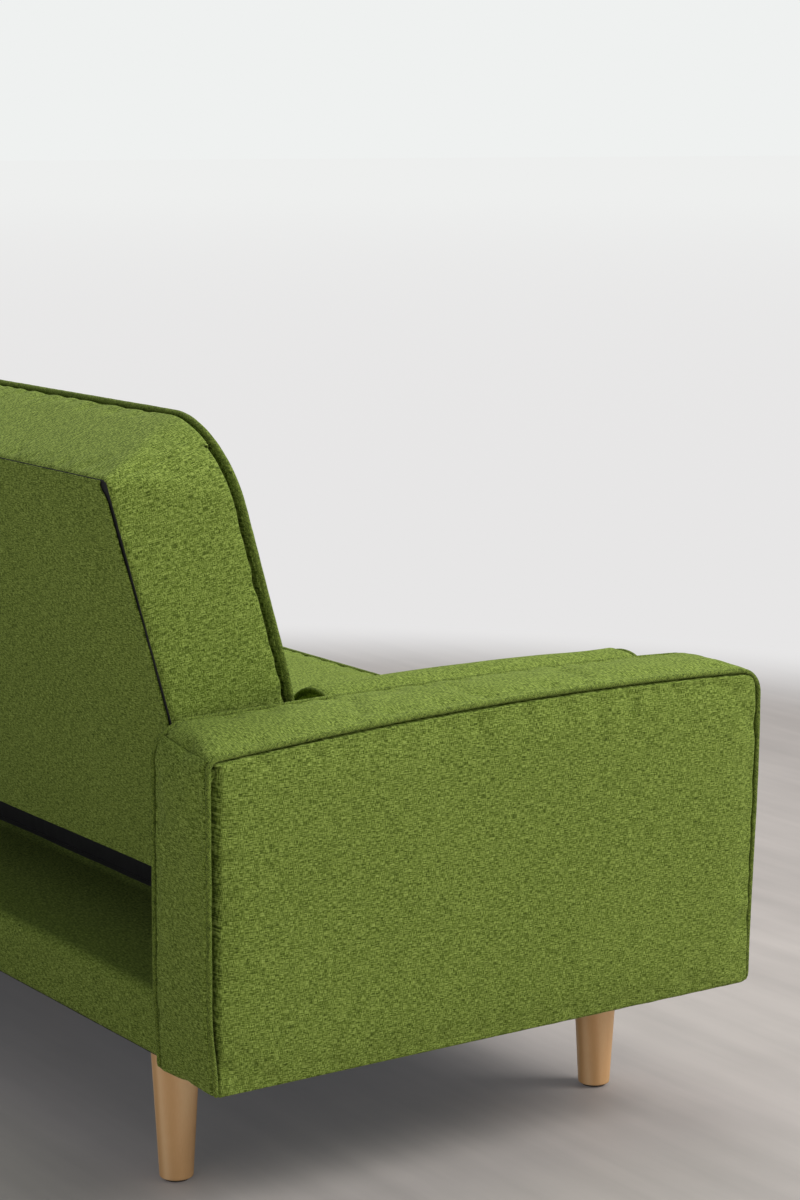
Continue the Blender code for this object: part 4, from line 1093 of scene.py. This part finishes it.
def make_staples():
    """Staples round the edge of the dust cover, each a little out of line."""
    low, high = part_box("dust_cover")
    edge, pitch, z = 0.010, 0.045, low.z - 0.0001
    xs = np.arange(low.x + edge * 2, high.x - edge, pitch)
    ys = np.arange(low.y + edge * 2, high.y - edge, pitch)
    rng = np.random.default_rng(5)
    places, turns = [], []
    for y in (low.y + edge, high.y - edge):
        places += [(x, y + rng.uniform(-0.001, 0.001), z) for x in xs]
        turns += [(0, 0, rng.uniform(-0.2, 0.2)) for _ in xs]
    for x in (low.x + edge, high.x - edge):
        places += [(x + rng.uniform(-0.001, 0.001), y, z) for y in ys]
        turns += [(0, 0, math.pi / 2 + rng.uniform(-0.2, 0.2)) for _ in ys]

    mesh = bpy.data.meshes.new("staple_places")
    mesh.from_pydata(places, [], [])
    layer = mesh.attributes.new("turn", "FLOAT_VECTOR", "POINT")
    layer.data.foreach_set("vector", np.array(turns, np.float32).ravel())
    ob = bpy.data.objects.new("staple_places", mesh)
    bpy.context.scene.collection.objects.link(ob)
    step = ob.modifiers.new("staples", "NODES")
    step.node_group, sockets = staple_tree()
    step[sockets["Width"]], step[sockets["Wire"]] = 0.0100, 0.0007
    bpy.context.view_layer.update()
    graph = bpy.context.evaluated_depsgraph_get()
    made = bpy.data.meshes.new_from_object(ob.evaluated_get(graph))
    bpy.data.objects.remove(ob)
    piece = finished("base_staples", made, "base", "spring_steel", finish=ZINC)
    piece.data.set_sharp_from_angle(angle=math.radians(40))


# ---------------------------------------------------------------- making the upholstery

arms = {side: arm_slab(sign) for side, sign in SIDES}
back, seat = back_slab(), seat_slab()
swellings = {name: Swelling(slab, f"{name}_swelling")
             for name, slab in {**arms, "back": back, "seat": seat}.items()}
Swelling.run()


def arm_border_limit(grid):
    """An arm's border swells most near its top and down its front."""
    near_top, near_front = smooth((grid[..., 1] - 0.40) / 0.07), smooth((grid[..., 0] - 0.33) / 0.04)
    return 0.0018 + 0.0044 * near_top + 0.0030 * near_front


for side, sign in SIDES:
    cover_slab(arms[side], swellings[side], (0.006, 0.0008, arm_border_limit), f"arm_{side}_upholstery",
               "base", [f"arm_{side}_cover"], seed=100 + sign, creases=(1,))
    for face, label in enumerate(("outer", "inner")):
        mesh = cord_mesh(arm_cord_line(sign, face), CORD_RADIUS, 200 + face + sign)
        finished(f"arm_{side}_{label}_cord", mesh, "base", "green_piping", [f"arm_{side}_{label}_piping"])


def sunk_rear(face, off, points, normal):
    """Inside its turned rear edge the back is sunk, and the rear cloth lies over it."""
    if face == 0:
        return points
    depth = 0.0030 * smooth((np.min(off, axis=0) - 0.0016) / 0.0012)
    return points - normal * depth[..., None]


cover = cover_slab(back, swellings["back"], (0.012, 0.0001, 0.0022), "back_upholstery", "back",
                   ["back_cover"], seed=300, creases=(1, 2), extra=sunk_rear)
# The faces under the rear cloth take the black lining: partly the real lining, partly painted shade, so the
# open slit beside the rear cloth reads black
lining_and_painted_shade(cover, behind_edge)
finished("back_cord", cord_mesh(back_cord_line(), BACK_CORD_RADIUS, 310, closed=True), "back",
         "green_piping", ["back_piping"])


def seat_limit(grid):
    """The seat stays flat beside the arms, where the bolsters lie."""
    clear = SEAT_HIGH.x - SEAT_SHOULDER_WIDTH
    return 0.0004 + SEAT_SWELL * smooth((clear - np.abs(grid[..., 0])) / 0.12)


def seat_border_limit(grid):
    """Its border stays flat at the rear, against the lining."""
    return 0.0003 + 0.0022 * smooth((SEAT_HIGH.y - 0.02 - grid[..., 1]) / 0.05)


cover_slab(seat, swellings["seat"], (seat_limit, 0.0005, seat_border_limit), "seat_upholstery", "base",
           ["seat_cover"], seed=400, creases=(0, 1, 2, 3), crease_depth=0.0003)
finished("seat_cord", cord_mesh(seat_cord_line(), CORD_RADIUS, 410, closed=True), "base",
         "green_piping", ["seat_piping"])

make_rear_panel()
make_rail_wraps()
make_linings()
for number, (side, sign) in enumerate(SIDES):
    make_bolster(side, sign, 500 + 20 * number)
make_legs()
make_staples()


# ---------------------------------------------------------------- finishes on the parts that stay

for node in frame["nodes"].values():
    for place in node.material_slots:
        label = place.material.name.split(".")[0] if place.material else None
        if label in FINISHES:
            place.material = FINISHES[label]


# ---------------------------------------------------------------- studio

def make_floor():
    size = 60.0
    mesh = bpy.data.meshes.new("studio_floor")
    corners = [(-size, -size, 0), (size, -size, 0), (size, size, 0), (-size, size, 0)]
    mesh.from_pydata(corners, [], [(0, 1, 2, 3)])
    made, tree, shader = blank("power_floated_concrete", Roughness=0.55, Specular_IOR_Level=0.35)
    place = add(tree, "ShaderNodeTexCoord").outputs["Object"]
    clouds = add(tree, "ShaderNodeTexNoise", {
        "Vector": place, "Scale": 1.6, "Detail": 6.0, "Roughness": 0.55})
    drawn = add(tree, "ShaderNodeMapping", {
        "Vector": place, "Scale": (2.0, 20.0, 1.0), "Rotation": (0.0, 0.0, 0.6)})
    streaks = add(tree, "ShaderNodeTexNoise", {"Vector": drawn.outputs["Vector"], "Scale": 1.0, "Detail": 4.0})
    tone = add(tree, "ShaderNodeMix", {"Factor": 0.4, 2: clouds.outputs["Fac"], 3: streaks.outputs["Fac"]},
               data_type="FLOAT").outputs[0]
    tree.links.new(ramp(tree, tone, [(0.3, "#9A938E"), (0.7, "#B9B1AB")]), shader.inputs["Base Color"])
    # light that walls and ceiling beyond the lamps give back
    shader.inputs["Emission Color"].default_value = linear("#F2F6FF")
    shader.inputs["Emission Strength"].default_value = 0.042
    away = add(tree, "ShaderNodeVectorMath", {0: place}, operation="LENGTH").outputs["Value"]
    fade = add(tree, "ShaderNodeMapRange", {"Value": away, "From Min": 2.05, "From Max": 2.75},
               interpolation_type="SMOOTHSTEP").outputs["Result"]
    far = add(tree, "ShaderNodeMapRange", {"Value": away, "From Min": 3.0, "From Max": 40.0},
              interpolation_type="SMOOTHSTEP").outputs["Result"]
    glow = add(tree, "ShaderNodeEmission", {"Color": ramp(tree, far, [(0.0, "#E7E6E6"), (1.0, "#EEEFEE")]),
                                            "Strength": 1.0})
    both = add(tree, "ShaderNodeMixShader", {0: fade, 1: shader.outputs[0], 2: glow.outputs[0]})
    tree.links.new(both.outputs[0], tree.nodes["Material Output"].inputs["Surface"])
    mesh.materials.append(made)
    floor = bpy.data.objects.new("studio_floor", mesh)
    bpy.context.scene.collection.objects.link(floor)


def make_light(name, place, target, size, power):
    lamp = bpy.data.lights.new(name, "AREA")
    lamp.shape = "RECTANGLE"
    lamp.size, lamp.size_y = size
    lamp.energy = power
    ob = bpy.data.objects.new(name, lamp)
    bpy.context.scene.collection.objects.link(ob)
    ob.location = place
    ob.rotation_euler = (Vector(target) - Vector(place)).to_track_quat("-Z", "Y").to_euler()


def make_world():
    world = bpy.data.worlds.new("studio")
    bpy.context.scene.world = world
    world.use_nodes = True
    tree = world.node_tree
    tree.nodes.clear()
    seen = add(tree, "ShaderNodeBackground", {"Color": linear("#EFF1F0"), "Strength": 1.0})
    light = add(tree, "ShaderNodeBackground", {"Color": linear("#F4F6F8"), "Strength": 0.31})
    ray = add(tree, "ShaderNodeLightPath").outputs["Is Camera Ray"]
    both = add(tree, "ShaderNodeMixShader", {0: ray, 1: light.outputs[0], 2: seen.outputs[0]})
    add(tree, "ShaderNodeOutputWorld", {"Surface": both.outputs[0]})


def make_camera():
    data = bpy.data.cameras.new("camera")
    data.lens, data.sensor_width = CAMERA_LENS, 36.0
    ob = bpy.data.objects.new("camera", data)
    bpy.context.scene.collection.objects.link(ob)
    level = math.cos(CAMERA_DIP)
    look = Vector((math.cos(CAMERA_HEADING) * level, -math.sin(CAMERA_HEADING) * level,
                   -math.sin(CAMERA_DIP)))
    right = look.cross(Vector((0, 0, 1))).normalized()
    up = right.cross(look)
    turn = Matrix((right, up, -look)).transposed() @ Matrix.Rotation(CAMERA_ROLL, 3, "Z")
    ob.matrix_world = Matrix.Translation(CAMERA_PLACE) @ turn.to_4x4()
    bpy.context.scene.camera = ob


make_floor()
make_world()
make_light("key_softbox", (-3.2, -2.6, 3.4), (-0.4, -0.1, 0.3), (2.4, 2.4), 194.0)
make_light("top_softbox", (0.3, -0.6, 3.2), (0.0, 0.0, 0.3), (3.0, 2.0), 58.0)
make_light("low_fill", (-3.4, 3.6, 0.9), (-0.6, 0.2, 0.1), (2.4, 1.4), 24.0)
make_camera()
bpy.context.scene.view_settings.view_transform = "Standard"
